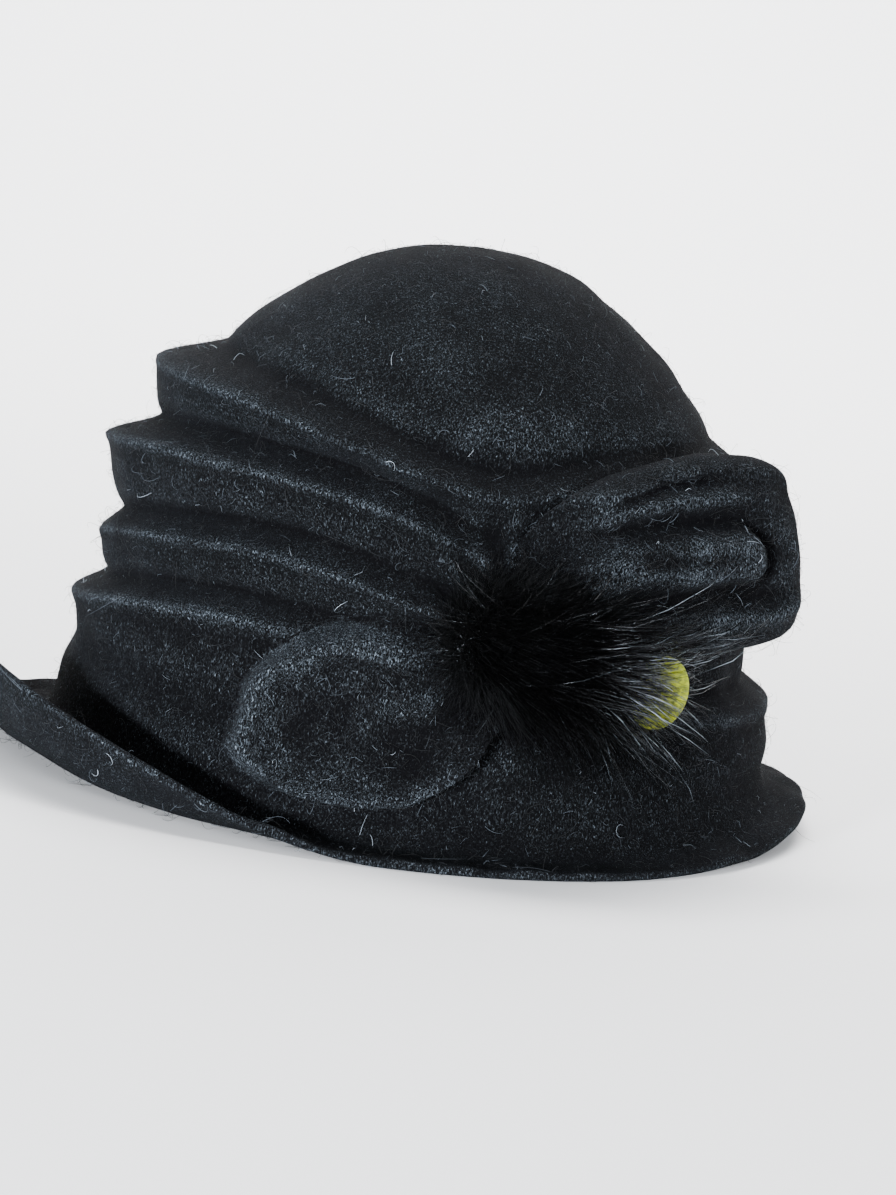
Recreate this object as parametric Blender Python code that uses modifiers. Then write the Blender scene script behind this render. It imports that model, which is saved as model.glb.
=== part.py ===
"""Cloche hat of boiled wool felt with a side bow, a fur tuft and a disc (metres, +Z up).

The front of the hat faces -X and its bow side faces -Y. It rests on its brim at z = 0.
"""
import math
import random

import bmesh
import bpy
import numpy as np
from mathutils import Matrix, Vector

# Sizes of the felt body, with shares and powers that shape it
CROWN_HEIGHT = 0.1535
HALF_LENGTH = 0.104
HALF_DEPTH = 0.089
FELT = 0.0022
TUCK_DEPTH = 0.010
TUCK_LEDGE = 0.0072
TUCK_FALL = 1.3
INNER_TUCK_SHARE = 0.25
BRIM_REACH = 0.026
BRIM_LIFT = 0.027
BRIM_START = 0.017
BRIM_HUG_SHARE = 0.12
RIM_ROUND_SHARE = 0.25

# Sizes of the bow, with shares and powers that shape it
PIECE_GAP = 0.0003
SEAT_TURN = 3.0
SEAT_RISE = 0.003
UPPER_THICKNESS = 0.013
UPPER_LIFT = 0.0155
LOWER_THICKNESS = 0.0065
PLEAT_DEPTH = 0.0045
END_ROUND_SHARE = 0.985
END_POWER = 8
EDGE_FULLNESS = 0.6
PLEAT_START_SHARE = 0.15
PLEAT_END_SHARE = 0.12
UPPER_EDGE_SHARE = 0.45
LOWER_EDGE_SHARE = 0.2

# Sizes of the fur tuft, with shares and powers that shape its locks
TUFT_AZIMUTH = 283.0
TUFT_HEIGHT_SHARE = 0.3844
TUFT_RADIUS = 0.0135
TUFT_DEPTH = 0.012
TUFT_GAP = 0.0009
LOCK_LENGTH = 0.054
LOCK_WIDTH = 0.0075
LOCK_COUNT = 30
ROOT_SHARE = 0.3
TAPER_SHARE = 0.85
CLEAR_SHARE = 0.6
TAPER_POWER = 1.5
SHORT_LOCK_SHARE = 0.34
LENGTH_SPREAD_SHARE = 0.14
TURN_SPREAD_SHARE = 0.2
TURN_POWER = 1.35
TUFT_SEED = 11
SWEEP_ANGLE = -8.0
DROOP_SHARE = 0.12
ARCH_SHARE = 0.35

# Sizes of the disc
DISC_DIAMETER = 0.020
DISC_ROUNDING = 0.0004
DISC_THICKNESS = 0.0015
DISC_AZIMUTH = 311.5
DISC_HEIGHT_SHARE = 0.3029
DISC_STAND = 0.0042
SHANK_DIAMETER = 0.003

# Heights of the tuft and the disc on the crown
TUFT_HEIGHT = TUFT_HEIGHT_SHARE * CROWN_HEIGHT
DISC_HEIGHT = DISC_HEIGHT_SHARE * CROWN_HEIGHT

# Numbers of facets
AROUND = 56
TUCK_ROWS = 3
BRIM_ROWS = 8
DOME_ROWS = 9
INNER_WALL_ROWS = 7
INNER_DOME_ROWS = 6
LOCK_STEPS = 4
HEAD_SEGMENTS = 20
HEAD_RINGS = 10
UPPER_STATIONS = 16
LOWER_STATIONS = 14
FRONT_POINTS = 23
BACK_POINTS = 11
DISC_SIDES = 40
SHANK_SIDES = 12
MERGE = 0.00001

# Plan sections of the wall, from the brim to the top of the crown
# height as a share of CROWN_HEIGHT, front and back as shares of HALF_LENGTH,
# bow side and far side as shares of HALF_DEPTH
SECTIONS = (
    (0.065, 1.040, 0.970, 1.010, 0.990),
    (0.140, 0.985, 0.952, 0.978, 0.966),
    (0.225, 0.918, 0.900, 0.955, 0.944),
    (0.325, 0.908, 0.856, 0.944, 0.932),
    (0.440, 0.884, 0.822, 0.921, 0.910),
    (0.570, 0.835, 0.779, 0.880, 0.870),
    (0.690, 0.750, 0.714, 0.820, 0.808),
    (0.785, 0.640, 0.612, 0.725, 0.715),
    (0.863, 0.520, 0.495, 0.610, 0.600),
    (0.924, 0.390, 0.375, 0.480, 0.470),
    (0.968, 0.260, 0.262, 0.335, 0.330),
    (0.992, 0.130, 0.134, 0.175, 0.170),
    (1.000, 0.000, 0.000, 0.000, 0.000),
)

# Crest heights of the four tucks, upper one first, as shares of CROWN_HEIGHT by azimuth in degrees
TUCK_CRESTS = (
    (0, 0.660, 0.538, 0.394, 0.230),
    (45, 0.680, 0.550, 0.406, 0.250),
    (90, 0.705, 0.560, 0.406, 0.262),
    (140, 0.725, 0.566, 0.400, 0.270),
    (180, 0.730, 0.576, 0.396, 0.276),
    (200, 0.725, 0.590, 0.425, 0.300),
    (220, 0.715, 0.600, 0.450, 0.330),
    (240, 0.690, 0.595, 0.465, 0.345),
    (255, 0.660, 0.580, 0.450, 0.335),
    (268, 0.630, 0.548, 0.415, 0.315),
    (280, 0.610, 0.505, 0.385, 0.290),
    (300, 0.640, 0.520, 0.380, 0.260),
    (330, 0.660, 0.530, 0.385, 0.235),
)

# Depths of the same tucks as shares of TUCK_DEPTH
TUCK_DEPTHS = (
    (0, 0.40, 0.40, 0.30, 0.52),
    (45, 0.55, 0.55, 0.40, 0.50),
    (90, 0.70, 0.65, 0.40, 0.60),
    (140, 0.95, 0.90, 0.38, 0.75),
    (180, 1.08, 1.00, 0.34, 0.72),
    (200, 1.00, 0.92, 0.42, 0.72),
    (220, 0.80, 0.76, 0.48, 0.58),
    (240, 0.60, 0.60, 0.48, 0.42),
    (255, 0.50, 0.50, 0.42, 0.26),
    (268, 0.40, 0.38, 0.32, 0.12),
    (280, 0.32, 0.26, 0.20, 0.06),
    (300, 0.34, 0.22, 0.16, 0.10),
    (330, 0.36, 0.32, 0.24, 0.36),
)

# Brim by azimuth in degrees: reach as a share of BRIM_REACH, edge height as a share of BRIM_LIFT,
# slope at the edge in degrees, sag as a share of BRIM_START, fullness of the roll
BRIM = (
    (0, 0.54, 0.24, -38, 0.50, 0.45),
    (45, 0.54, 0.10, -12, 0.20, 0.50),
    (90, 0.58, 0.00, 0, 0.05, 0.60),
    (125, 0.70, 0.00, 4, 0.00, 0.60),
    (150, 0.85, 0.02, 10, -0.05, 0.65),
    (168, 0.95, 0.16, 34, -0.20, 0.75),
    (184, 1.00, 0.52, 60, -0.30, 0.85),
    (196, 1.00, 0.86, 72, -0.30, 0.88),
    (208, 0.98, 0.99, 76, -0.30, 0.88),
    (224, 0.88, 0.76, 72, -0.30, 0.88),
    (238, 0.76, 0.46, 54, -0.25, 0.85),
    (252, 0.68, 0.16, 20, -0.18, 0.70),
    (268, 0.66, 0.00, 0, -0.05, 0.60),
    (300, 0.58, 0.00, 0, 0.05, 0.55),
    (325, 0.54, 0.06, -14, 0.15, 0.50),
    (342, 0.54, 0.17, -30, 0.40, 0.45),
)

# Upper loop of the bow by azimuth in degrees: lower and upper edges as shares of CROWN_HEIGHT,
# lift off the wall as a share of UPPER_LIFT, thickness as a share of UPPER_THICKNESS
UPPER_LOOP = (
    (284.0, 0.395, 0.540, 0.00, 0.34),
    (288.0, 0.370, 0.595, 0.00, 0.52),
    (294.0, 0.362, 0.640, 0.03, 0.75),
    (304.0, 0.376, 0.674, 0.10, 0.88),
    (314.0, 0.380, 0.698, 0.25, 0.97),
    (324.0, 0.384, 0.712, 0.48, 1.00),
    (332.0, 0.398, 0.711, 0.74, 0.98),
    (337.0, 0.418, 0.698, 0.93, 0.88),
    (340.0, 0.445, 0.670, 1.02, 0.70),
)

# Lower loop of the bow in the same columns
LOWER_LOOP = (
    (282.5, 0.225, 0.365, 0.00, 0.50),
    (280.0, 0.172, 0.385, 0.00, 0.72),
    (275.0, 0.118, 0.395, 0.00, 0.95),
    (269.0, 0.088, 0.400, 0.00, 1.00),
    (262.0, 0.080, 0.398, 0.00, 1.00),
    (255.0, 0.082, 0.378, 0.00, 1.00),
    (249.0, 0.088, 0.338, 0.00, 0.98),
    (244.0, 0.100, 0.290, 0.00, 0.94),
    (240.5, 0.118, 0.235, 0.00, 0.85),
)

# Pleats across a loop: place at the knot and at the tip as shares of its height,
# depth as a share of PLEAT_DEPTH, width as a share of its height, first and last share of its length
UPPER_PLEATS = (
    (0.96, 0.96, 0.60, 0.09, 0.00, 1.10),
    (0.88, 0.90, -1.10, 0.05, 0.00, 0.72),
    (0.60, 0.65, 1.00, 0.09, 0.10, 0.80),
    (0.50, 0.52, -0.55, 0.07, 0.15, 0.66),
    (0.42, 0.40, 0.80, 0.09, 0.10, 0.80),
    (0.20, 0.20, 0.70, 0.12, 0.00, 1.00),
)
LOWER_PLEATS = (
    (0.88, 0.80, 1.15, 0.13, 0.00, 1.20),
    (0.16, 0.22, 0.95, 0.16, 0.00, 1.20),
)

# Each loop as its sections, its pleats, its thickness and where its edge lies in that thickness
UPPER_BOW = (UPPER_LOOP, UPPER_PLEATS, UPPER_THICKNESS, UPPER_EDGE_SHARE)
LOWER_BOW = (LOWER_LOOP, LOWER_PLEATS, LOWER_THICKNESS, LOWER_EDGE_SHARE)

# Colour, roughness and metallic value of each material
FELT_BLACK = ("felt_black", (0.012, 0.013, 0.016), 0.95, 0.0)
FUR_BLACK = ("fur_black", (0.006, 0.006, 0.008), 0.45, 0.0)
DISC_YELLOW = ("disc_yellow_green", (0.42, 0.40, 0.06), 0.35, 0.0)


def column(rows, index, x, period=None):
    """Reads one column of a table at x, as a smooth curve that never overshoots its rows."""
    rows = np.array(sorted(rows), float)
    xs, ys = rows[:, 0], rows[:, index]
    if period:
        xs = np.concatenate((xs[-2:] - period, xs, xs[:2] + period))
        ys = np.concatenate((ys[-2:], ys, ys[:2]))
    steps = np.diff(ys) / np.diff(xs)
    slopes = np.zeros_like(ys)
    before, after = steps[:-1], steps[1:]
    same_way = before * after > 0
    slopes[1:-1][same_way] = 2 * before[same_way] * after[same_way] / (before + after)[same_way]
    slopes[0], slopes[-1] = steps[0], steps[-1]
    x = np.asarray(x, float)
    i = np.clip(np.searchsorted(xs, x) - 1, 0, len(xs) - 2)
    width = xs[i + 1] - xs[i]
    t = np.clip((x - xs[i]) / width, 0, 1)
    start = (1 + 2 * t) * (1 - t) ** 2 * ys[i] + t * (1 - t) ** 2 * width * slopes[i]
    end = t * t * (3 - 2 * t) * ys[i + 1] + t * t * (t - 1) * width * slopes[i + 1]
    return start + end


def meridian():
    """Gives the sections' places along the wall, from 0 at the brim to 1 at the top."""
    rows = np.array(SECTIONS)
    reach = rows[:, 1:].mean(axis=1) * (HALF_LENGTH + HALF_DEPTH) / 2
    steps = np.hypot(np.diff(reach), np.diff(rows[:, 0] * CROWN_HEIGHT))
    places = np.concatenate(((0,), np.cumsum(steps)))
    return places / places[-1]


PLACES = meridian()
ALONG = tuple((place, *row) for place, row in zip(PLACES, SECTIONS))
FINE_PLACES = np.linspace(0, 1, 400)
FINE_HEIGHTS = column(ALONG, 1, FINE_PLACES) * CROWN_HEIGHT


def plan_point(azimuth, place):
    """Gives the point of the plain wall at an azimuth in degrees and a place along the wall."""
    turn = np.radians(azimuth)
    front, back = (column(ALONG, i, place) * HALF_LENGTH for i in (2, 3))
    bow, far = (column(ALONG, i, place) * HALF_DEPTH for i in (4, 5))
    length = np.where(np.cos(turn) > 0, back, front)
    depth = np.where(np.sin(turn) > 0, far, bow)
    height = column(ALONG, 1, place) * CROWN_HEIGHT
    return np.stack(np.broadcast_arrays(length * np.cos(turn), depth * np.sin(turn), height), -1)


def outward(azimuth):
    """Gives the level direction that leaves the wall at an azimuth in degrees."""
    turn = np.radians(azimuth)
    x, y = np.cos(turn) / HALF_LENGTH, np.sin(turn) / HALF_DEPTH
    length = np.hypot(x, y)
    return np.stack(np.broadcast_arrays(x / length, y / length, 0 * x), -1)


def place_at(height):
    """Gives the place along the wall of a height."""
    return np.interp(height, FINE_HEIGHTS, FINE_PLACES)


def on_wall(azimuth, height, out):
    """Gives the point that stands a distance out from the plain wall."""
    azimuth, height, out = np.broadcast_arrays(azimuth, height, out)
    return plan_point(azimuth, place_at(height)) + out[..., None] * outward(azimuth)


def tuck_swell(azimuth, height):
    """Gives how far the tucks stand out: a short ledge above each crest, a slow fall below it."""
    azimuth, height = np.broadcast_arrays(azimuth, height)
    crests = [column(TUCK_CRESTS, i, azimuth % 360, 360) * CROWN_HEIGHT for i in (1, 2, 3, 4)]
    swell = np.zeros(height.shape)
    for i, crest in enumerate(crests):
        depth = column(TUCK_DEPTHS, i + 1, azimuth % 360, 360) * TUCK_DEPTH
        floor = crests[i + 1] + TUCK_LEDGE if i < 3 else np.full(height.shape, BRIM_START)
        above = np.clip((height - crest) / TUCK_LEDGE, 0, 1)
        below = np.clip((crest - height) / (crest - floor), 0, 1)
        swell += depth * np.where(height > crest, (1 + np.cos(np.pi * above)) / 2, 1 - below ** TUCK_FALL)
    return swell


def brim_curve(azimuth, share):
    """Gives reach and height along the brim's section, from the wall at 0 to the edge at 1."""
    azimuth, share = np.broadcast_arrays(azimuth % 360, share)
    reach = column(BRIM, 1, azimuth, 360) * BRIM_REACH
    edge_height = column(BRIM, 2, azimuth, 360) * BRIM_LIFT + FELT
    slope = np.radians(column(BRIM, 3, azimuth, 360))
    sag = column(BRIM, 4, azimuth, 360) * BRIM_START
    roll = column(BRIM, 5, azimuth, 360) * reach
    xs = (0 * reach, BRIM_HUG_SHARE * reach, reach - roll * np.cos(slope), reach)
    zs = (BRIM_START + 0 * reach, sag, edge_height - roll * np.sin(slope), edge_height)
    weights = ((1 - share) ** 3, 3 * share * (1 - share) ** 2, 3 * share ** 2 * (1 - share), share ** 3)
    return sum(w * x for w, x in zip(weights, xs)), sum(w * z for w, z in zip(weights, zs))


def body_out(azimuth, height):
    """Gives how far the felt's outer face stands out from the plain wall, brim flare included."""
    azimuth, height = np.broadcast_arrays(np.asarray(azimuth, float), np.asarray(height, float))
    shares = np.linspace(0, 0.5, 26)
    reach, level = brim_curve(azimuth[..., None], shares)
    nearest = np.argmin(np.abs(level - height[..., None]), axis=-1)
    flare = np.take_along_axis(reach, nearest[..., None], -1)[..., 0]
    return np.where(height < BRIM_START, flare, tuck_swell(azimuth, height))


def seat_out(azimuth, height):
    """Gives where a piece's back lies on the felt, clear of every crest close by."""
    azimuth, height = np.broadcast_arrays(np.asarray(azimuth, float), np.asarray(height, float))
    outs = [
        body_out(azimuth + turn, height + rise)
        for turn in (-SEAT_TURN, 0, SEAT_TURN)
        for rise in (-SEAT_RISE, 0, SEAT_RISE)
    ]
    return np.max(outs, axis=0) + PIECE_GAP


def felt_rows(azimuth, brim_shares, wall_heights, dome_rows):
    """Gives the plain faces row by row, from the brim's edge to just under the top."""
    rows = []
    start = on_wall(azimuth, BRIM_START, 0)
    for share in brim_shares:
        reach, level = brim_curve(azimuth, share)
        row = start + reach[:, None] * outward(azimuth)
        row[:, 2] = level
        rows.append(row)
    for height in wall_heights:
        rows.append(on_wall(azimuth, height, 0))
    last = place_at(wall_heights[-1])
    for i in range(1, dome_rows):
        rows.append(plan_point(azimuth, last + (1 - last) * i / dome_rows))
    return np.array(rows)


def face_normals(rows):
    """Gives the outward unit normals of a closed grid of rows."""
    around = np.roll(rows, -1, axis=1) - np.roll(rows, 1, axis=1)
    upward = np.gradient(rows, axis=0)
    normals = np.cross(around, upward)
    return normals / np.linalg.norm(normals, axis=-1, keepdims=True)


def tuck_heights(azimuth):
    """Gives rows of heights that follow the tucks, so that crests and creases fall on edges."""
    crests = [column(TUCK_CRESTS, i, azimuth % 360, 360) * CROWN_HEIGHT for i in (4, 3, 2, 1)]
    heights = []
    low = np.full(azimuth.shape, BRIM_START)
    for crest in crests:
        shares = [i / TUCK_ROWS for i in range(1, TUCK_ROWS + 1)]
        heights += [low + (crest - low) * share for share in shares]
        heights += [crest + TUCK_LEDGE * share for share in shares]
        low = crest + TUCK_LEDGE
    return heights


def felt_grids():
    """Gives the outer face, the rim and the inner face of the felt as grids of points."""
    azimuth = np.arange(AROUND) * 360 / AROUND
    brim_shares = np.linspace(1, 0, BRIM_ROWS + 1)
    heights = tuck_heights(azimuth)
    outer = felt_rows(azimuth, brim_shares, heights, DOME_ROWS)
    swell = tuck_swell(azimuth, outer[..., 2])
    swell[:BRIM_ROWS + 1] = 0
    outer = outer + swell[..., None] * outward(azimuth)
    outer[..., 2] = np.maximum(outer[..., 2], FELT)
    top = heights[-1]
    inner_shares = [i / INNER_WALL_ROWS for i in range(1, INNER_WALL_ROWS + 1)]
    inner_heights = [BRIM_START + (top - BRIM_START) * share for share in inner_shares]
    inner = felt_rows(azimuth, brim_shares, inner_heights, INNER_DOME_ROWS)
    inner_swell = tuck_swell(azimuth, inner[..., 2]) * INNER_TUCK_SHARE
    inner_swell[:BRIM_ROWS + 1] = 0
    inner = inner - FELT * face_normals(inner) + inner_swell[..., None] * outward(azimuth)
    inner[..., 2] = np.maximum(inner[..., 2], 0)
    beyond = RIM_ROUND_SHARE * FELT / BRIM_REACH * BRIM_ROWS
    rim = (outer[0] + inner[0]) / 2 + (outer[0] - outer[1]) * beyond
    rim[:, 2] = np.maximum(rim[:, 2], FELT / 2)
    return outer, rim, inner


def add_object(name, vertices, faces, material):
    """Makes a mesh object with outward faces in the hat's collection."""
    mesh = bpy.data.meshes.new(name)
    mesh.from_pydata([tuple(v) for v in vertices], [], faces)
    work = bmesh.new()
    work.from_mesh(mesh)
    bmesh.ops.recalc_face_normals(work, faces=work.faces)
    work.to_mesh(mesh)
    work.free()
    mesh.polygons.foreach_set("use_smooth", [True] * len(mesh.polygons))
    mesh.materials.append(material)
    return bpy.data.objects.new(name, mesh)


def ring_faces(rings, count, closed):
    """Gives the faces between rings of count points each, joined end to end where closed."""
    faces = []
    for i in range(rings if closed else rings - 1):
        a, b = i * count, (i + 1) % rings * count
        for j in range(count):
            k = (j + 1) % count
            faces.append((a + j, a + k, b + k, b + j))
    return faces


def make_body(material):
    """Makes crown, tucks and brim as one hollow felt."""
    outer, rim, inner = felt_grids()
    rows = np.concatenate((outer[::-1], rim[None], inner))
    points = list(rows.reshape(-1, 3))
    faces = ring_faces(len(rows), AROUND, False)
    points += [Vector((0, 0, CROWN_HEIGHT)), Vector((0, 0, CROWN_HEIGHT - FELT))]
    top, ceiling = len(points) - 2, len(points) - 1
    last = (len(rows) - 1) * AROUND
    for j in range(AROUND):
        k = (j + 1) % AROUND
        faces.append((top, j, k))
        faces.append((ceiling, last + k, last + j))
    return add_object("felt_body", points, faces, material)


def loop_faces(loop, azimuth, across):
    """Gives height, back and front distance of a loop at an azimuth and a share of its height."""
    table, pleats, thickness, edge = loop
    azimuth, across = np.broadcast_arrays(np.asarray(azimuth, float), np.asarray(across, float))
    low, high = (column(table, i, azimuth) * CROWN_HEIGHT for i in (1, 2))
    height = low + (high - low) * across
    seat = np.maximum(seat_out(azimuth, height), column(table, 3, azimuth) * UPPER_LIFT)
    thick = column(table, 4, azimuth) * thickness
    first, last = table[0][0], table[-1][0]
    share = np.clip((azimuth - first) / (last - first), 0, 1)
    swell = np.zeros(height.shape)
    for at_knot, at_tip, depth, width, begin, end in pleats:
        centre = at_knot + (at_tip - at_knot) * share
        shown = np.clip((share - begin) / PLEAT_START_SHARE, 0, 1)
        shown *= np.clip((end - share) / PLEAT_END_SHARE, 0, 1)
        swell += depth * PLEAT_DEPTH * shown * np.exp(-((across - centre) / width) ** 2)
    rounding = np.sqrt(1 - (END_ROUND_SHARE * (2 * share - 1)) ** END_POWER)
    full = (2 * np.sqrt(across * (1 - across))) ** EDGE_FULLNESS * rounding
    back = seat + thick * edge * (1 - full)
    front = seat + thick * (edge + (1 - edge) * full) + swell * full
    return height, back, front


def loop_rings(loop, stations):
    """Gives a loop's closed sections along its length, each one round its rolled edges."""
    first, last = loop[0][0][0], loop[0][-1][0]
    front_across = (1 - np.cos(np.linspace(0, math.pi, FRONT_POINTS))) / 2
    back_across = (1 - np.cos(np.linspace(math.pi, 0, BACK_POINTS)[1:-1])) / 2
    rings = []
    for i in range(stations):
        share = (1 - math.cos(math.pi * i / (stations - 1))) / 2
        azimuth = first + (last - first) * share
        height, _, front = loop_faces(loop, azimuth, front_across)
        back_height, back, _ = loop_faces(loop, azimuth, back_across)
        heights = np.concatenate((height, back_height))
        rings.append(on_wall(azimuth, heights, np.concatenate((front, back))))
    return np.array(rings)


def make_loop(name, loop, stations, material):
    """Makes one folded felt loop of the bow."""
    rings = loop_rings(loop, stations)
    count = rings.shape[1]
    faces = ring_faces(len(rings), count, False)
    faces.append(tuple(range(count)))
    faces.append(tuple(range((len(rings) - 1) * count, len(rings) * count)))
    return add_object(name, rings.reshape(-1, 3), faces, material)


def cover_out(azimuth, height):
    """Gives how far the felt, the loops and the disc stand out from the plain wall."""
    azimuth, height = np.broadcast_arrays(np.asarray(azimuth, float), np.asarray(height, float))
    cover = seat_out(azimuth, height)
    for loop in (UPPER_BOW, LOWER_BOW):
        table = loop[0]
        first, last = sorted((table[0][0], table[-1][0]))
        low, high = (column(table, i, azimuth) * CROWN_HEIGHT for i in (1, 2))
        across = (height - low) / (high - low)
        _, _, front = loop_faces(loop, np.clip(azimuth, first, last), np.clip(across, 0, 1))
        under = (azimuth >= first) & (azimuth <= last) & (across >= 0) & (across <= 1)
        cover = np.where(under, np.maximum(cover, front), cover)
    aside = np.radians(azimuth - DISC_AZIMUTH) * HALF_LENGTH
    over_disc = np.hypot(aside, height - DISC_HEIGHT) < DISC_DIAMETER / 2 + LOCK_WIDTH
    return np.where(over_disc, np.maximum(cover, disc_seat() + DISC_THICKNESS), cover)


def disc_seat():
    """Gives how far the disc's back stands out from the plain wall."""
    return float(seat_out(DISC_AZIMUTH, DISC_HEIGHT)) + DISC_STAND


def solid_copy(item, name, material):
    """Makes a plain mesh object from an object with its modifiers or bevelled curve."""
    bpy.context.view_layer.update()
    graph = bpy.context.evaluated_depsgraph_get()
    mesh = bpy.data.meshes.new_from_object(item.evaluated_get(graph))
    work = bmesh.new()
    work.from_mesh(mesh)
    bmesh.ops.transform(work, matrix=item.matrix_world, verts=work.verts)
    bmesh.ops.remove_doubles(work, verts=work.verts, dist=MERGE)
    work.to_mesh(mesh)
    work.free()
    mesh.materials.clear()
    mesh.materials.append(material)
    bpy.data.objects.remove(item)
    return bpy.data.objects.new(name, mesh)


def join_solids(body, others):
    """Joins solids into the first one in a single union."""
    pile = bpy.data.collections.new("joined")
    for other in others:
        pile.objects.link(other)
    bpy.context.scene.collection.objects.link(body)
    joint = body.modifiers.new("join", "BOOLEAN")
    joint.operation = "UNION"
    joint.solver = "EXACT"
    joint.use_self = True
    joint.operand_type = "COLLECTION"
    joint.collection = pile
    joined = solid_copy(body, body.name, body.data.materials[0])
    for other in others:
        bpy.data.objects.remove(other)
    bpy.data.collections.remove(pile)
    return joined


def lock_path(direction, length, middle):
    """Gives the points of a lock of fur, from the tuft's middle out over what lies below it."""
    share = np.linspace(0, 1, LOCK_STEPS + 1)
    rise = math.radians(direction)
    away = TUFT_RADIUS * ROOT_SHARE + length * share
    azimuth = TUFT_AZIMUTH + np.degrees(away * math.cos(rise) / HALF_LENGTH)
    height = TUFT_HEIGHT + away * math.sin(rise) - DROOP_SHARE * length * share ** 2
    turns = np.array((-SEAT_TURN, 0, SEAT_TURN))[:, None, None]
    lifts = np.array((-LOCK_WIDTH / 2, 0, LOCK_WIDTH / 2))[None, :, None]
    floor = cover_out(azimuth + turns, height + lifts).max(axis=(0, 1))
    floor += LOCK_WIDTH * (1 - CLEAR_SHARE * share)
    arch = middle + ARCH_SHARE * length * np.sin(np.pi * share) * (1 - share)
    return on_wall(azimuth, height, np.maximum(floor, arch * (1 - share) + floor * share))


def tuft_out():
    """Gives how far the middle of the tuft's head stands out, so that it rests on what is below it."""
    turns, aways = np.meshgrid(np.linspace(0, 2 * math.pi, 25)[:-1], np.linspace(0, 0.98, 24))
    asides, ups = aways * np.cos(turns) * TUFT_RADIUS, aways * np.sin(turns) * TUFT_RADIUS
    cover = cover_out(TUFT_AZIMUTH + np.degrees(asides / HALF_DEPTH), TUFT_HEIGHT + ups)
    fall = asides ** 2 / (2 * HALF_DEPTH)
    belly = TUFT_DEPTH / 2 * np.sqrt(1 - aways ** 2)
    return float(np.max(cover - fall + belly)) + TUFT_GAP


def make_lock(direction, length, middle, material):
    """Makes one curved, tapering lock of fur as a bevelled curve with filled ends."""
    curve = bpy.data.curves.new("lock", "CURVE")
    curve.dimensions = "3D"
    curve.bevel_depth = LOCK_WIDTH / 2
    curve.bevel_resolution = 1
    curve.use_fill_caps = True
    points = lock_path(direction, length, middle)
    spline = curve.splines.new("POLY")
    spline.points.add(len(points) - 1)
    for i, (point, place) in enumerate(zip(spline.points, points)):
        point.co = (*place, 1)
        point.radius = 1 - TAPER_SHARE * (i / (len(points) - 1)) ** TAPER_POWER
    item = bpy.data.objects.new("lock", curve)
    bpy.context.scene.collection.objects.link(item)
    return solid_copy(item, "lock", material)


def make_tuft(material):
    """Makes the tuft's head and its locks, short at the front and long where they sweep back."""
    bpy.ops.mesh.primitive_uv_sphere_add(segments=HEAD_SEGMENTS, ring_count=HEAD_RINGS, radius=1)
    head = bpy.context.object
    head.scale = (TUFT_RADIUS, TUFT_RADIUS, TUFT_DEPTH / 2)
    middle = tuft_out()
    head.location = on_wall(TUFT_AZIMUTH, TUFT_HEIGHT, middle)
    head.rotation_euler = Vector(outward(TUFT_AZIMUTH)).to_track_quat("Z", "Y").to_euler()
    head = solid_copy(head, "fur_tuft", material)
    chance = random.Random(TUFT_SEED)
    locks = []
    for i in range(LOCK_COUNT):
        turn = 2 * (i + 0.5 + chance.uniform(-TURN_SPREAD_SHARE, TURN_SPREAD_SHARE)) / LOCK_COUNT - 1
        direction = SWEEP_ANGLE + math.copysign(180 * abs(turn) ** TURN_POWER, turn)
        along = max(0, math.cos(math.radians(direction - SWEEP_ANGLE))) ** TAPER_POWER
        length = LOCK_LENGTH * (SHORT_LOCK_SHARE + (1 - SHORT_LOCK_SHARE) * along)
        length *= 1 - chance.uniform(0, LENGTH_SPREAD_SHARE)
        locks.append(make_lock(direction, length, middle, material))
    tuft = join_solids(head, locks)
    tuft.data.polygons.foreach_set("use_smooth", [True] * len(tuft.data.polygons))
    return tuft


def make_disc(material):
    """Makes the disc with a short hidden shank behind it."""
    facing = Vector(outward(DISC_AZIMUTH)).to_track_quat("Z", "Y").to_euler()
    middle = disc_seat() + DISC_THICKNESS / 2
    bpy.ops.mesh.primitive_cylinder_add(vertices=DISC_SIDES, radius=DISC_DIAMETER / 2, depth=DISC_THICKNESS)
    plate = bpy.context.object
    plate.location = on_wall(DISC_AZIMUTH, DISC_HEIGHT, middle)
    plate.rotation_euler = facing
    rounding = plate.modifiers.new("rounding", "BEVEL")
    rounding.width = DISC_ROUNDING
    plate = solid_copy(plate, "disc", material)
    foot = float(seat_out(DISC_AZIMUTH, DISC_HEIGHT))
    reach = middle - foot
    bpy.ops.mesh.primitive_cylinder_add(vertices=SHANK_SIDES, radius=SHANK_DIAMETER / 2, depth=reach)
    shank = bpy.context.object
    shank.location = on_wall(DISC_AZIMUTH, DISC_HEIGHT, foot + reach / 2)
    shank.rotation_euler = facing
    return join_solids(plate, [solid_copy(shank, "shank", material)])


def make_material(name, colour, roughness, metallic):
    """Makes a material from its base colour, roughness and metallic value."""
    material = bpy.data.materials.new(name)
    material.use_nodes = True
    shader = material.node_tree.nodes["Principled BSDF"]
    shader.inputs["Base Color"].default_value = (*colour, 1.0)
    shader.inputs["Roughness"].default_value = roughness
    shader.inputs["Metallic"].default_value = metallic
    material.diffuse_color = (*colour, 1.0)
    return material


def centre(items):
    """Moves all the pieces so that the hat's box stands centred on the origin."""
    corners = np.array([v.co for item in items for v in item.data.vertices])
    low, high = corners.min(axis=0), corners.max(axis=0)
    shift = Matrix.Translation((-(low[0] + high[0]) / 2, -(low[1] + high[1]) / 2, -low[2]))
    for item in items:
        item.data.transform(shift)


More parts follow.
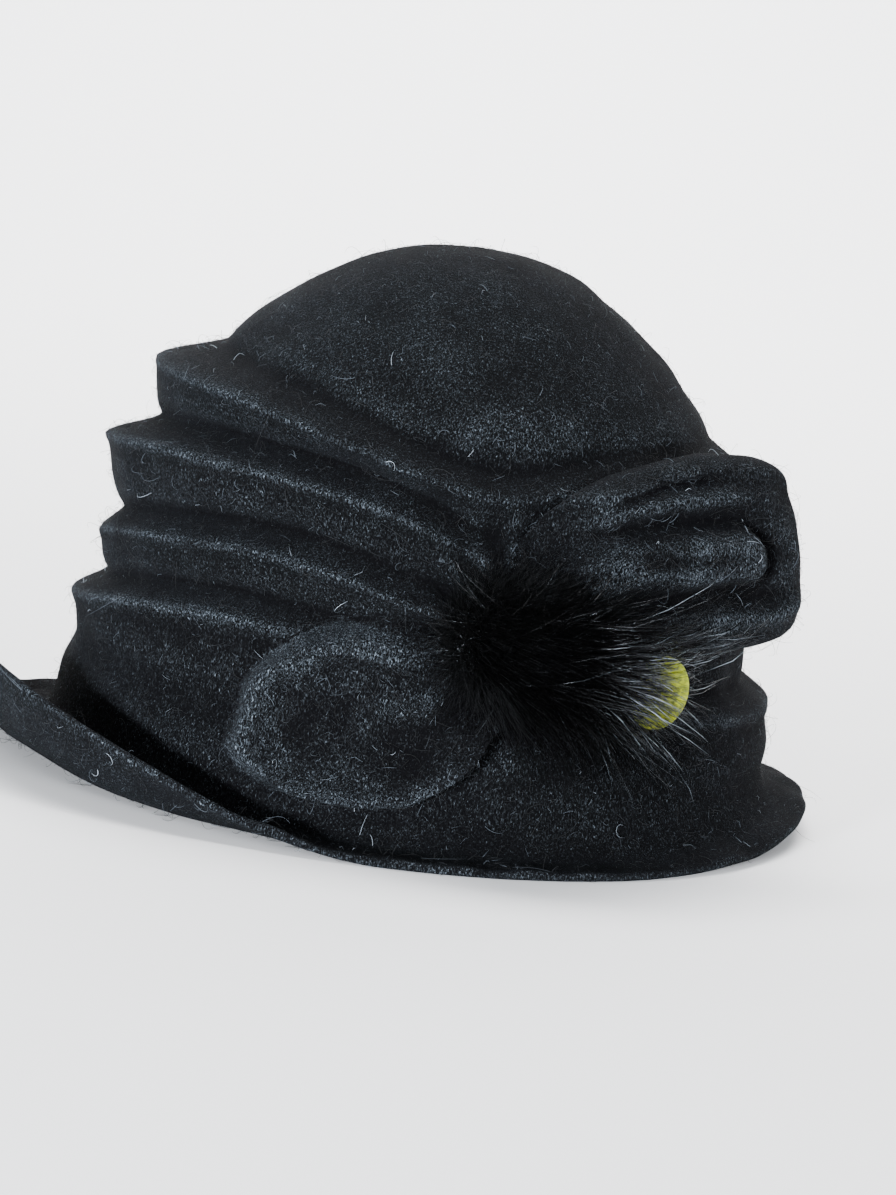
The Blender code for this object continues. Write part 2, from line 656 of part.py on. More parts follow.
def main():
    for item in list(bpy.data.objects):
        bpy.data.objects.remove(item)
    hat = bpy.data.collections.new("cloche_hat")
    bpy.context.scene.collection.children.link(hat)
    felt = make_material(*FELT_BLACK)
    fur = make_material(*FUR_BLACK)
    yellow = make_material(*DISC_YELLOW)
    items = [
        make_body(felt),
        make_loop("bow_loop_upper", UPPER_BOW, UPPER_STATIONS, felt),
        make_loop("bow_loop_lower", LOWER_BOW, LOWER_STATIONS, felt),
        make_tuft(fur),
        make_disc(yellow),
    ]
    centre(items)
    for item in items:
        hat.objects.link(item)


main()
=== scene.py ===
"""Dresses the cloche hat: boiled wool crown, tucks, brim and bow, a fur tuft and a disc.

Lengths are in metres and +Z is up. The front of the hat faces -X and its bow side faces -Y, as in
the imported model. Azimuths are in degrees: 0 at the back, 180 at the front and 270 at the bow side.
"""
import math

import bpy
import numpy as np
from mathutils import Matrix, Vector


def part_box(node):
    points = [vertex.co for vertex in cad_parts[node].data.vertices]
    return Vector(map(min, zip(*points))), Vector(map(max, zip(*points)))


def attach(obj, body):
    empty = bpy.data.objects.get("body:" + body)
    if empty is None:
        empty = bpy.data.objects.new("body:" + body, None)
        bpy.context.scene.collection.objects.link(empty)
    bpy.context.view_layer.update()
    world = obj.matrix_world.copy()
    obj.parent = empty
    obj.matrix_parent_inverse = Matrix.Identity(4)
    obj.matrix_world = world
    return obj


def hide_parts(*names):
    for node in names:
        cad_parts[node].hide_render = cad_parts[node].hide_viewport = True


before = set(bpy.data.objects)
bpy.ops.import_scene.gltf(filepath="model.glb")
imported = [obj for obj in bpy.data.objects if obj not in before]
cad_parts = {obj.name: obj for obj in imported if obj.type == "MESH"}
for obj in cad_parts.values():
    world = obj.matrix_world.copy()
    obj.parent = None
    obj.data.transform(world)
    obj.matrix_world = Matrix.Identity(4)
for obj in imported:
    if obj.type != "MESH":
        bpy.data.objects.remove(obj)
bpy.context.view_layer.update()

# Sizes of the felt body, the same as in the part
CROWN_HEIGHT = 0.1535
HALF_LENGTH = 0.104
HALF_DEPTH = 0.089
FELT = 0.0022
TUCK_DEPTH = 0.010
TUCK_LEDGE = 0.0072
TUCK_FALL = 1.3
INNER_TUCK = 0.25
BRIM_REACH = 0.026
BRIM_LIFT = 0.027
BRIM_START = 0.017
BRIM_HUG = 0.12

# Soft forms that only the cloth shows
CREST_WIDTH = 0.0022
CREST_HEIGHT = 0.0014
CREASE_DEPTH = 0.0008
CREST_POWER = 0.3
UNEVEN_DEPTH = 0.00035
UNEVEN_SIZE = 0.019
GATHER_DEPTH = 0.0009
GATHER_COUNT = 13
GATHER_AWAY = 0.021
GATHER_WIDTH = 0.012
GATHER_SIDE = 0.012

# The plane waves that make the unevenness: how many, and the height of each
WAVES = 24
WAVE_HEIGHT = 0.22

# Sizes of the bow
BOW_GAP = 0.00012
UPPER_THICKNESS = 0.013
UPPER_LIFT = 0.0155
UPPER_EDGE = 0.45
PLEAT_DEPTH = 0.0045
END_ROUNDING = 0.985
END_POWER = 8
EDGE_FULLNESS = 0.6
PLEAT_START = 0.15
PLEAT_END = 0.12
LOBE_RIDGE = 0.0066
LOBE_HOLLOW = 0.0026
LOBE_EDGE = 0.0068
LOBE_ROLL = 0.0060
LOBE_RAMP = 0.0072
LOBE_RIM = -0.00018
LOBE_CORNER = 4.0

# Where the lobe's lower edge is crisp: how far up it and up to where along the lobe,
# and what this takes off the ramp, the roll's place and the roll's width
CRISP_HEIGHT = 0.011
CRISP_END = 0.95
CRISP_FADE = 0.35
CRISP_RAMP = 0.75
CRISP_EDGE = 0.7
CRISP_ROLL = 0.5

# Where the lobe's ridge is lowest, as a turn in radians about the corner of its tip and lower edge,
# and how the lobe rises again at the knot
DIP_DEPTH = 0.6
DIP_TURN = 0.85
DIP_WIDTH = 0.42
KNOT_RISE = 0.0012
KNOT_REACH = 0.012

# Painted highlight and shade: the felt's colour is lighter on ridges and darker in creases, where
# light and shade fall. A ridge as high as the piece's own RELIEF adds the share set just below to
# the value that picks its colour. CALM is how many times the grid is smoothed to find the plain
# form under the ridges, and KNOT_SHADE the share of a bow piece's length over which this painted
# light fades in from the knot.
RIDGE_LIGHT_SHARE = 0.062
RELIEF_LIMIT = 1.5
BODY_RELIEF, BODY_CALM = 0.0004, 5
UPPER_RELIEF, UPPER_CALM = 0.0009, 120
LOWER_RELIEF, LOWER_CALM = 0.0012, 700
KNOT_SHADE = 0.3

# Sizes of the fur tuft
TUFT_AZIMUTH = 283.0
TUFT_HEIGHT = 0.059
TUFT_RADIUS = 0.0135
TUFT_DEPTH = 0.012
TUFT_SWEEP = -8.0
SKIN_ROWS = 24
SKIN_AROUND = 64
SKIN_SHARE = 0.93
SKIN_CLEAR = 0.0006
SKIN_CROWN = 0.0015

# Guard hairs: the longest lock, numbers of locks and of hairs in each, and their sag as a share of
# their length. Locks crowd round the sweep by SWEEP_POWER and are shorter away from it.
GUARD_LENGTH = 0.066
GUARD_LOCKS = 240
GUARD_HAIRS = 20
GUARD_STEPS = 6
GUARD_RADIUS = 0.00009
GUARD_CLEAR = 0.0004
GUARD_SAG = 0.10
SWEEP_POWER = 1.9
SHORT_SHARE = 0.38
LOCK_CLOSING = 0.85

# Glints, painted into the hairs' colour as well as given by their gloss: degrees off the sweep
# where they are strongest, their spread in degrees, the chance that a hair elsewhere has to pass
# to have one, and their length as a share of the hair's
GLINT_TURN = 3
GLINT_SPREAD = 17
GLINT_RARE = 0.93
GLINT_LENGTH = 0.17

# Under hairs, and how much the sweep carries them along
UNDER_HAIRS = 6000
UNDER_LENGTH = 0.0120
UNDER_STEPS = 3
UNDER_RADIUS = 0.00007
UNDER_CLEAR = 0.0003
UNDER_SWEEP = 0.45

# Sizes of the disc
DISC_DIAMETER = 0.020
DISC_THICKNESS = 0.0015
DISC_AZIMUTH = 311.5
DISC_HEIGHT = 0.0465
DISC_STAND = 0.0048
DISC_RIM = 0.0007
DISC_AROUND = 96
DISC_RIM_STEPS = 13

# Numbers of rows and points
AROUND = 400
PANEL_ROWS = 16
LEDGE_ROWS = 8
BRIM_ROWS = 36
RIM_ROWS = 5
DOME_ROWS = 34
INNER_WALL_ROWS = 30
INNER_DOME_ROWS = 12
BOW_STATIONS = 150
BOW_FRONT = 170
BOW_BACK = 30

# The map of what lies under the hairs: a point each half degree and each millimetre
COVER_AZIMUTHS = np.linspace(240, 345, 211)
COVER_HEIGHTS = np.linspace(0.002, 0.112, 111)
COVER_PER_DEGREE = 2
COVER_PER_METRE = 1000

# Loose fibres on the felt: name, count, usual length, usual lift, curl in radians, radius,
# darkest and lightest tone, seed, steps, and their shares on the outer face, the brim's
# underside, the upper loop and the lower lobe
FIBRES = (
    ("felt_fuzz", 14000, 0.0017, 0.0004, 1.1, 0.00004, (0.1, 0.9), 21, 2,
     (0.76, 0.08, 0.09, 0.07)),
    ("felt_stray_fibres", 2800, 0.0040, 0.0012, 1.5, 0.00005, (0.0, 1.0), 22, 6,
     (0.62, 0.22, 0.09, 0.07)),
)

# Lights: name, place, aim, side, power in watts and colour
HAT_MIDDLE = (0.0, -0.03, 0.07)
LIGHTS = (
    ("key_light", (-0.52, -1.12, 0.09), HAT_MIDDLE, 0.15, 76, "#f4f9ff"),
    ("upper_light", (-0.30, -0.9, 1.00), HAT_MIDDLE, 0.40, 2, "#fbfdff"),
    ("fill_light", (0.80, -0.95, 0.20), HAT_MIDDLE, 0.30, 20, "#f8fbff"),
    ("backdrop_light", (0.0, 0.8, 2.1), (0.0, 1.8, 0.9), 1.6, 190, "#ffffff"),
)
WORLD_COLOUR, WORLD_STRENGTH = "#f2f3f5", 0.42

# The camera: degrees above level, the hat's lean in the picture, its place and its lens
CAMERA_RISE = 10.0
CAMERA_LEAN = 7.3
CAMERA_PLACE = (0.0043, -0.7788, 0.1901)
CAMERA_LENS = 82.66

# The backdrop: flat to FLOOR_BACK, then a quarter turn of SWEEP_RADIUS, then up to SWEEP_TOP
FLOOR_FRONT, FLOOR_BACK = -3.0, 1.2
SWEEP_RADIUS = 0.9
SWEEP_TOP = 4.5
SWEEP_HALF_WIDTH = 4.5

# Plan sections of the wall, from the brim to the top of the crown: height as a share of
# CROWN_HEIGHT, front and back as shares of HALF_LENGTH, bow and far side as shares of HALF_DEPTH
SECTIONS = (
    (0.065, 1.040, 0.970, 1.010, 0.990),
    (0.140, 0.985, 0.952, 0.978, 0.966),
    (0.225, 0.918, 0.900, 0.955, 0.944),
    (0.325, 0.908, 0.856, 0.944, 0.932),
    (0.440, 0.884, 0.822, 0.921, 0.910),
    (0.570, 0.835, 0.779, 0.880, 0.870),
    (0.690, 0.750, 0.714, 0.820, 0.808),
    (0.785, 0.640, 0.612, 0.725, 0.715),
    (0.863, 0.520, 0.495, 0.610, 0.600),
    (0.924, 0.390, 0.375, 0.480, 0.470),
    (0.968, 0.260, 0.262, 0.335, 0.330),
    (0.992, 0.130, 0.134, 0.175, 0.170),
    (1.000, 0.000, 0.000, 0.000, 0.000),
)

# Crest heights of the four tucks by azimuth, upper one first, as shares of CROWN_HEIGHT
TUCK_CRESTS = (
    (0, 0.660, 0.538, 0.394, 0.230),
    (45, 0.680, 0.550, 0.406, 0.250),
    (90, 0.705, 0.560, 0.406, 0.262),
    (140, 0.725, 0.566, 0.400, 0.270),
    (180, 0.730, 0.576, 0.396, 0.276),
    (200, 0.725, 0.590, 0.425, 0.300),
    (220, 0.715, 0.600, 0.450, 0.330),
    (240, 0.690, 0.595, 0.465, 0.345),
    (255, 0.660, 0.580, 0.450, 0.335),
    (268, 0.630, 0.548, 0.415, 0.315),
    (280, 0.610, 0.505, 0.385, 0.290),
    (300, 0.640, 0.520, 0.380, 0.260),
    (330, 0.660, 0.530, 0.385, 0.235),
)

# Depths of the same tucks as shares of TUCK_DEPTH
TUCK_DEPTHS = (
    (0, 0.40, 0.40, 0.30, 0.52),
    (45, 0.55, 0.55, 0.40, 0.50),
    (90, 0.70, 0.65, 0.40, 0.60),
    (140, 0.95, 0.90, 0.38, 0.75),
    (180, 1.08, 1.00, 0.34, 0.72),
    (200, 1.00, 0.92, 0.42, 0.72),
    (220, 0.80, 0.76, 0.48, 0.58),
    (240, 0.60, 0.60, 0.48, 0.42),
    (255, 0.50, 0.50, 0.42, 0.26),
    (268, 0.40, 0.38, 0.32, 0.12),
    (280, 0.32, 0.26, 0.20, 0.06),
    (300, 0.34, 0.22, 0.16, 0.10),
    (330, 0.36, 0.32, 0.24, 0.36),
)

# Brim by azimuth: reach as a share of BRIM_REACH, edge height as a share of BRIM_LIFT,
# slope at the edge in degrees, sag as a share of BRIM_START, fullness of the roll
BRIM = (
    (0, 0.54, 0.24, -38, 0.50, 0.45),
    (45, 0.54, 0.10, -12, 0.20, 0.50),
    (90, 0.58, 0.00, 0, 0.05, 0.60),
    (125, 0.70, 0.00, 4, 0.00, 0.60),
    (150, 0.85, 0.02, 10, -0.05, 0.65),
    (168, 0.95, 0.16, 34, -0.20, 0.75),
    (184, 1.00, 0.52, 60, -0.30, 0.85),
    (196, 1.00, 0.86, 72, -0.30, 0.88),
    (208, 0.98, 0.99, 76, -0.30, 0.88),
    (224, 0.88, 0.76, 72, -0.30, 0.88),
    (238, 0.76, 0.46, 54, -0.25, 0.85),
    (252, 0.68, 0.16, 20, -0.18, 0.70),
    (268, 0.66, 0.00, 0, -0.05, 0.60),
    (300, 0.58, 0.00, 0, 0.05, 0.55),
    (325, 0.54, 0.06, -14, 0.15, 0.50),
    (342, 0.54, 0.17, -30, 0.40, 0.45),
)

# Upper loop of the bow by azimuth: lower and upper edges as shares of CROWN_HEIGHT,
# lift off the wall as a share of UPPER_LIFT, thickness as a share of UPPER_THICKNESS
UPPER_LOOP = (
    (284.0, 0.395, 0.540, 0.00, 0.34),
    (288.0, 0.370, 0.595, 0.00, 0.52),
    (294.0, 0.362, 0.640, 0.03, 0.75),
    (304.0, 0.376, 0.674, 0.10, 0.88),
    (314.0, 0.380, 0.698, 0.25, 0.97),
    (324.0, 0.384, 0.712, 0.48, 1.00),
    (332.0, 0.398, 0.711, 0.74, 0.98),
    (337.0, 0.418, 0.698, 0.93, 0.88),
    (340.0, 0.445, 0.670, 1.02, 0.70),
)

# Lower lobe of the bow by azimuth: lower and upper edges as shares of CROWN_HEIGHT
LOWER_LOBE = (
    (282.5, 0.225, 0.365),
    (280.0, 0.172, 0.385),
    (275.0, 0.112, 0.395),
    (269.0, 0.078, 0.400),
    (262.0, 0.068, 0.398),
    (255.0, 0.070, 0.378),
    (249.0, 0.077, 0.338),
    (244.0, 0.092, 0.290),
    (240.5, 0.112, 0.235),
)

# Pleats across the upper loop: place at the knot and at the tip as shares of its height, depth as
# a share of PLEAT_DEPTH, width as a share of its height, first and last share of its length
UPPER_PLEATS = (
    (0.96, 0.96, 0.60, 0.07, 0.00, 1.10),
    (0.88, 0.90, -0.95, 0.03, 0.26, 0.74),
    (0.80, 0.82, 0.35, 0.06, 0.05, 0.90),
    (0.72, 0.72, -0.45, 0.05, 0.15, 0.80),
    (0.20, 0.18, 0.60, 0.09, 0.00, 1.00),
    (0.29, 0.28, -0.55, 0.05, 0.10, 0.90),
)

# The finger-like fold on the upper loop: where it starts and ends along the loop, its place across
# it, its half width and height, the crease round its tip and the seam along its middle
FOLD_START = 0.08
FOLD_END = 0.71
FOLD_PLACE = 0.51
FOLD_WIDTH = 0.0068
FOLD_HEIGHT = 0.0032
FOLD_CREASE = 0.0030
FOLD_CREASE_WIDTH = 0.0016
FOLD_CREASE_AWAY = 1.25
FOLD_SEAM = 0.0010
FOLD_TIP = 0.35

# How full the upper loop is where it leaves the knot, and where along it it is full
KNOT_FULLNESS = 0.12
FULL_FROM = 0.30


def column(rows, index, x, period=None):
    """Reads one column of a table at x, as a smooth curve that never overshoots its rows."""
    rows = np.array(sorted(rows), float)
    xs, ys = rows[:, 0], rows[:, index]
    if period:
        xs = np.concatenate((xs[-2:] - period, xs, xs[:2] + period))
        ys = np.concatenate((ys[-2:], ys, ys[:2]))
    steps = np.diff(ys) / np.diff(xs)
    slopes = np.zeros_like(ys)
    before, after = steps[:-1], steps[1:]
    same_way = before * after > 0
    slopes[1:-1][same_way] = 2 * before[same_way] * after[same_way] / (before + after)[same_way]
    slopes[0], slopes[-1] = steps[0], steps[-1]
    x = np.asarray(x, float)
    i = np.clip(np.searchsorted(xs, x) - 1, 0, len(xs) - 2)
    width = xs[i + 1] - xs[i]
    t = np.clip((x - xs[i]) / width, 0, 1)
    start = (1 + 2 * t) * (1 - t) ** 2 * ys[i] + t * (1 - t) ** 2 * width * slopes[i]
    end = t * t * (3 - 2 * t) * ys[i + 1] + t * t * (t - 1) * width * slopes[i + 1]
    return start + end


def soft_noise(points, size, seed):
    """Adds up plane waves of random ways and phases, each about size long: even, near -1 to 1."""
    chance = np.random.default_rng(seed)
    ways = chance.normal(size=(WAVES, 3))
    lengths = np.linalg.norm(ways, axis=1, keepdims=True) * chance.uniform(0.7, 1.4, (WAVES, 1))
    ways *= 2 * np.pi / (size * lengths)
    total = np.zeros(points.shape[:-1])
    for way, phase in zip(ways, chance.uniform(0, 2 * np.pi, WAVES)):
        total += np.cos(points @ way + phase)
    return total * WAVE_HEIGHT


def bell(x, width):
    """Gives exp(-(x / width) squared), a bell one width wide."""
    return np.exp(-(x / width) ** 2)


def smooth(x):
    """Gives a smooth step from 0 at 0 to 1 at 1."""
    x = np.clip(x, 0, 1)
    return x * x * (3 - 2 * x)


def meridian():
    """Gives the sections' places along the wall, from 0 at the brim to 1 at the top."""
    rows = np.array(SECTIONS)
    reach = rows[:, 1:].mean(axis=1) * (HALF_LENGTH + HALF_DEPTH) / 2
    steps = np.hypot(np.diff(reach), np.diff(rows[:, 0] * CROWN_HEIGHT))
    places = np.concatenate(((0,), np.cumsum(steps)))
    return places / places[-1]


ALONG = tuple((place, *row) for place, row in zip(meridian(), SECTIONS))
FINE_PLACES = np.linspace(0, 1, 400)
FINE_HEIGHTS = column(ALONG, 1, FINE_PLACES) * CROWN_HEIGHT


def plan_point(azimuth, place):
    """Gives the plain wall's point: four quarter ellipses, their half axes from the sections."""
    turn = np.radians(azimuth)
    front, back = (column(ALONG, i, place) * HALF_LENGTH for i in (2, 3))
    bow, far = (column(ALONG, i, place) * HALF_DEPTH for i in (4, 5))
    length = np.where(np.cos(turn) > 0, back, front)
    depth = np.where(np.sin(turn) > 0, far, bow)
    height = column(ALONG, 1, place) * CROWN_HEIGHT
    return np.stack(np.broadcast_arrays(length * np.cos(turn), depth * np.sin(turn), height), -1)


def outward(azimuth):
    """Gives the level direction that leaves the wall at an azimuth in degrees."""
    turn = np.radians(azimuth)
    x, y = np.cos(turn) / HALF_LENGTH, np.sin(turn) / HALF_DEPTH
    length = np.hypot(x, y)
    return np.stack(np.broadcast_arrays(x / length, y / length, 0 * x), -1)


def on_wall(azimuth, height, out):
    """Gives the point that stands a distance out from the plain wall."""
    azimuth, height, out = np.broadcast_arrays(azimuth, height, out)
    place = np.interp(height, FINE_HEIGHTS, FINE_PLACES)
    return plan_point(azimuth, place) + out[..., None] * outward(azimuth)


def tuck_swell(azimuth, height):
    """Gives how far the tucks stand out: half a cosine above each crest, 1 minus a power below it.

    A narrow bell sharpens each crest, and another one cuts the crease where the ledge ends.
    """
    azimuth, height = np.broadcast_arrays(azimuth, height)
    crests = [column(TUCK_CRESTS, i, azimuth % 360, 360) * CROWN_HEIGHT for i in (1, 2, 3, 4)]
    swell = np.zeros(height.shape)
    for i, crest in enumerate(crests):
        depth = column(TUCK_DEPTHS, i + 1, azimuth % 360, 360)
        floor = crests[i + 1] + TUCK_LEDGE if i < 3 else np.full(height.shape, BRIM_START)
        above = np.clip((height - crest) / TUCK_LEDGE, 0, 1)
        below = np.clip((crest - height) / (crest - floor), 0, 1)
        profile = np.where(height > crest, (1 + np.cos(np.pi * above)) / 2, 1 - below ** TUCK_FALL)
        swell += TUCK_DEPTH * depth * profile
        sharp = depth ** CREST_POWER
        swell += CREST_HEIGHT * sharp * bell(height - crest, CREST_WIDTH)
        swell -= CREASE_DEPTH * sharp * bell(height - crest - TUCK_LEDGE, CREST_WIDTH)
    return swell


def gathers(azimuth, height):
    """Gives the small folds that fan out from the knot.

    They are a cosine of the turn round the knot, in a bell of the distance from it.
    """
    aside = np.radians(azimuth - TUFT_AZIMUTH) * HALF_DEPTH
    up = height - TUFT_HEIGHT
    away, turn = np.hypot(aside, up), np.arctan2(up, aside)
    shown = bell(away - GATHER_AWAY, GATHER_WIDTH) * smooth((GATHER_SIDE - aside) / GATHER_SIDE)
    return GATHER_DEPTH * shown * np.cos(GATHER_COUNT * turn + 0.9 * np.sin(3 * turn))


def brim_curve(azimuth, share):
    """Gives reach and height along the brim's section: a cubic from the wall, 0, to the edge, 1."""
    azimuth, share = np.broadcast_arrays(azimuth % 360, share)
    reach = column(BRIM, 1, azimuth, 360) * BRIM_REACH
    edge_height = column(BRIM, 2, azimuth, 360) * BRIM_LIFT + FELT
    slope = np.radians(column(BRIM, 3, azimuth, 360))
    sag = column(BRIM, 4, azimuth, 360) * BRIM_START
    roll = column(BRIM, 5, azimuth, 360) * reach
    xs = (0 * reach, BRIM_HUG * reach, reach - roll * np.cos(slope), reach)
    zs = (BRIM_START + 0 * reach, sag, edge_height - roll * np.sin(slope), edge_height)
    left = 1 - share
    weights = (left ** 3, 3 * share * left ** 2, 3 * share ** 2 * left, share ** 3)
    return sum(w * x for w, x in zip(weights, xs)), sum(w * z for w, z in zip(weights, zs))


def body_swell(azimuth, height):
    """Gives how far the felt stands out of the plain wall: tucks, gathers and unevenness."""
    azimuth, height = np.broadcast_arrays(np.asarray(azimuth, float), np.asarray(height, float))
    uneven = UNEVEN_DEPTH * soft_noise(on_wall(azimuth, height, 0.0), UNEVEN_SIZE, 5)
    shown = smooth((height - BRIM_START) / 0.010)
    return tuck_swell(azimuth, height) + (gathers(azimuth, height) + uneven) * shown


def body_out(azimuth, height):
    """Gives how far the felt's outer face stands out, brim flare included."""
    azimuth, height = np.broadcast_arrays(np.asarray(azimuth, float), np.asarray(height, float))
    shares = np.linspace(0, 0.5, 26)
    reach, level = brim_curve(azimuth[..., None], shares)
    nearest = np.argmin(np.abs(level - height[..., None]), axis=-1)
    flare = np.take_along_axis(reach, nearest[..., None], -1)[..., 0]
    return np.where(height < BRIM_START, flare, body_swell(azimuth, height))


def felt_rows(azimuth, brim_shares, wall_heights, dome_rows):
    """Gives the plain face row by row, from the brim's edge to just under the top."""
    start = on_wall(azimuth, BRIM_START, 0)
    reach, level = brim_curve(azimuth[None], brim_shares[:, None])
    brim = start[None] + reach[..., None] * outward(azimuth)[None]
    brim[..., 2] = level
    wall = on_wall(azimuth[None], np.array(wall_heights), 0)
    last = np.interp(wall_heights[-1], FINE_HEIGHTS, FINE_PLACES)
    rise = (np.arange(1, dome_rows) / dome_rows)[:, None]
    dome = plan_point(azimuth[None], last + (1 - last) * rise)
    return np.concatenate((brim, wall, dome))


def face_normals(rows):
    """Gives the outward unit normals of a closed grid: around crossed with upward."""
    around = np.roll(rows, -1, axis=1) - np.roll(rows, 1, axis=1)
    normals = np.cross(around, np.gradient(rows, axis=0))
    return normals / np.linalg.norm(normals, axis=-1, keepdims=True)


def tuck_heights(azimuth):
    """Gives rows of heights that follow the tucks, so that crests and creases fall on rows."""
    heights = []
    low = np.full(azimuth.shape, BRIM_START)
    for i in (4, 3, 2, 1):
        crest = column(TUCK_CRESTS, i, azimuth % 360, 360) * CROWN_HEIGHT
        heights += [low + (crest - low) * j / PANEL_ROWS for j in range(1, PANEL_ROWS + 1)]
        heights += [crest + TUCK_LEDGE * j / LEDGE_ROWS for j in range(1, LEDGE_ROWS + 1)]
        low = crest + TUCK_LEDGE
    return heights


def felt_grids():
    """Gives the outer face, the rounded rim and the inner face of the felt as grids of points."""
    azimuth = np.arange(AROUND) * 360 / AROUND
    brim_shares = np.linspace(1, 0, BRIM_ROWS + 1)
    heights = tuck_heights(azimuth)
    outer = felt_rows(azimuth, brim_shares, heights, DOME_ROWS)
    swell = body_swell(azimuth[None], outer[..., 2])
    swell[:BRIM_ROWS + 1] = 0
    outer = outer + swell[..., None] * outward(azimuth)
    lift = UNEVEN_DEPTH * soft_noise(outer[:BRIM_ROWS], UNEVEN_SIZE, 8)
    lift = lift * np.linspace(1, 0, BRIM_ROWS)[:, None]
    outer[:BRIM_ROWS] += lift[..., None] * face_normals(outer)[:BRIM_ROWS]
    outer[..., 2] = np.maximum(outer[..., 2], FELT)
    low, top = np.full(azimuth.shape, BRIM_START), heights[-1]
    inner_heights = [low + (top - low) * i / INNER_WALL_ROWS
                     for i in range(1, INNER_WALL_ROWS + 1)]
    inner = felt_rows(azimuth, brim_shares, inner_heights, INNER_DOME_ROWS)
    inner_swell = tuck_swell(azimuth[None], inner[..., 2]) * INNER_TUCK
    inner_swell[:BRIM_ROWS + 1] = 0
    inner = inner - FELT * face_normals(inner) + inner_swell[..., None] * outward(azimuth)
    inner[..., 2] = np.maximum(inner[..., 2], 0)
    middle, half = (outer[0] + inner[0]) / 2, (outer[0] - inner[0]) / 2
    beyond = outer[0] - outer[1]
    beyond *= FELT / 2 / np.linalg.norm(beyond, axis=-1, keepdims=True)
    turn = (np.arange(1, RIM_ROWS + 1) * np.pi / (RIM_ROWS + 1))[:, None, None]
    rim = middle + half * np.cos(turn) + beyond * np.sin(turn)
    rim[..., 2] = np.maximum(rim[..., 2], 0)
    return outer, rim, inner


def bow_chart(table, azimuth, across):
    """Gives a bow piece's azimuth, share across, lower and upper edge, height and share along."""
    azimuth, across = np.broadcast_arrays(np.asarray(azimuth, float), np.asarray(across, float))
    low, high = (column(table, i, azimuth) * CROWN_HEIGHT for i in (1, 2))
    first, last = table[0][0], table[-1][0]
    share = np.clip((azimuth - first) / (last - first), 0, 1)
    return azimuth, across, low, high, low + (high - low) * across, share


def upper_faces(azimuth, across):
    """Gives height, back and front of the upper loop at an azimuth and a share of its height.

    The front is the seat plus the thickness, rounded at the edges and ends, plus a bell for each
    pleat, plus the finger-like fold: a flat-topped bell of the distance from its middle line, with
    a crease round it.
    """
    azimuth, across, low, high, height, share = bow_chart(UPPER_LOOP, azimuth, across)
    lift = column(UPPER_LOOP, 3, azimuth) * UPPER_LIFT
    seat = np.maximum(body_out(azimuth, height) + BOW_GAP, lift)
    thick = column(UPPER_LOOP, 4, azimuth) * UPPER_THICKNESS
    swell = np.zeros(height.shape)
    for at_knot, at_tip, depth, width, begin, end in UPPER_PLEATS:
        centre = at_knot + (at_tip - at_knot) * share
        shown = smooth((share - begin) / PLEAT_START) * smooth((end - share) / PLEAT_END)
        swell += depth * PLEAT_DEPTH * shown * bell(across - centre, width)
    length = math.radians(UPPER_LOOP[-1][0] - UPPER_LOOP[0][0]) * HALF_LENGTH
    beyond = np.maximum(share - FOLD_END, 0) * length
    off_line = (across - FOLD_PLACE) * (high - low)
    away = np.hypot(beyond, off_line)
    shown = smooth((share - FOLD_START) / PLEAT_START)
    swell += FOLD_HEIGHT * shown * np.exp(-(away / FOLD_WIDTH) ** 4)
    seam = bell(off_line, FOLD_CREASE_WIDTH) * smooth((FOLD_END - share) / PLEAT_END)
    swell -= FOLD_SEAM * shown * seam
    round_tip = smooth((share - FOLD_TIP) / FOLD_TIP)
    crease = bell(away - FOLD_WIDTH * FOLD_CREASE_AWAY, FOLD_CREASE_WIDTH)
    swell -= FOLD_CREASE * shown * round_tip * crease
    rounding = np.sqrt(1 - (END_ROUNDING * (2 * share - 1)) ** END_POWER)
    off_knot = KNOT_FULLNESS + (1 - KNOT_FULLNESS) * smooth(share / FULL_FROM)
    full = (2 * np.sqrt(across * (1 - across))) ** EDGE_FULLNESS * rounding * off_knot
    wall = on_wall(azimuth, height, 0.0)
    uneven = UNEVEN_DEPTH * soft_noise(wall, UNEVEN_SIZE * 0.7, 12)
    back = seat + thick * UPPER_EDGE * (1 - full)
    front = seat + thick * (UPPER_EDGE + (1 - UPPER_EDGE) * full) + (swell + uneven) * full
    return height, back, front


def lower_faces(azimuth, across):
    """Gives height, back and front of the lower lobe: a soft roll inside its edge, hollow within.

    The edge is a blend of the distances to the lobe's top, tip and bottom. The roll is a bell of
    that distance, the hollow is a smooth step of it, and at the edge itself both run out thin on
    the felt. At the bottom near the knot the roll is narrow and close to the edge.
    """
    azimuth, across, low, high, height, share = bow_chart(LOWER_LOBE, azimuth, across)
    seat = body_out(azimuth, height) + BOW_GAP
    length = math.radians(LOWER_LOBE[0][0] - LOWER_LOBE[-1][0]) * HALF_DEPTH
    up, down = (1 - across) * (high - low), across * (high - low)
    tip, knot = (1 - share) * length, share * length
    edge = sum((away + 1e-6) ** -LOBE_CORNER for away in (up, tip, down)) ** (-1 / LOBE_CORNER)
    crisp = smooth((CRISP_END - share) / CRISP_FADE) * bell(down, CRISP_HEIGHT)
    ramp = smooth(edge / (LOBE_RAMP * (1 - CRISP_RAMP * crisp)))
    beyond = edge - LOBE_EDGE * (1 - CRISP_EDGE * crisp)
    width = np.where(beyond > 0, LOBE_ROLL, LOBE_ROLL * (1 - CRISP_ROLL * crisp))
    dip = 1 - DIP_DEPTH * bell(np.arctan2(tip, down) - DIP_TURN, DIP_WIDTH)
    rise = LOBE_HOLLOW * ramp
    rise += (LOBE_RIDGE - LOBE_HOLLOW) * bell(beyond, width) * dip * ramp
    rise += KNOT_RISE * smooth(1 - knot / KNOT_REACH) * ramp
    wall = on_wall(azimuth, height, 0.0)
    uneven = UNEVEN_DEPTH * soft_noise(wall, UNEVEN_SIZE * 0.6, 14)
    return height, seat, seat + LOBE_RIM + rise + uneven * ramp


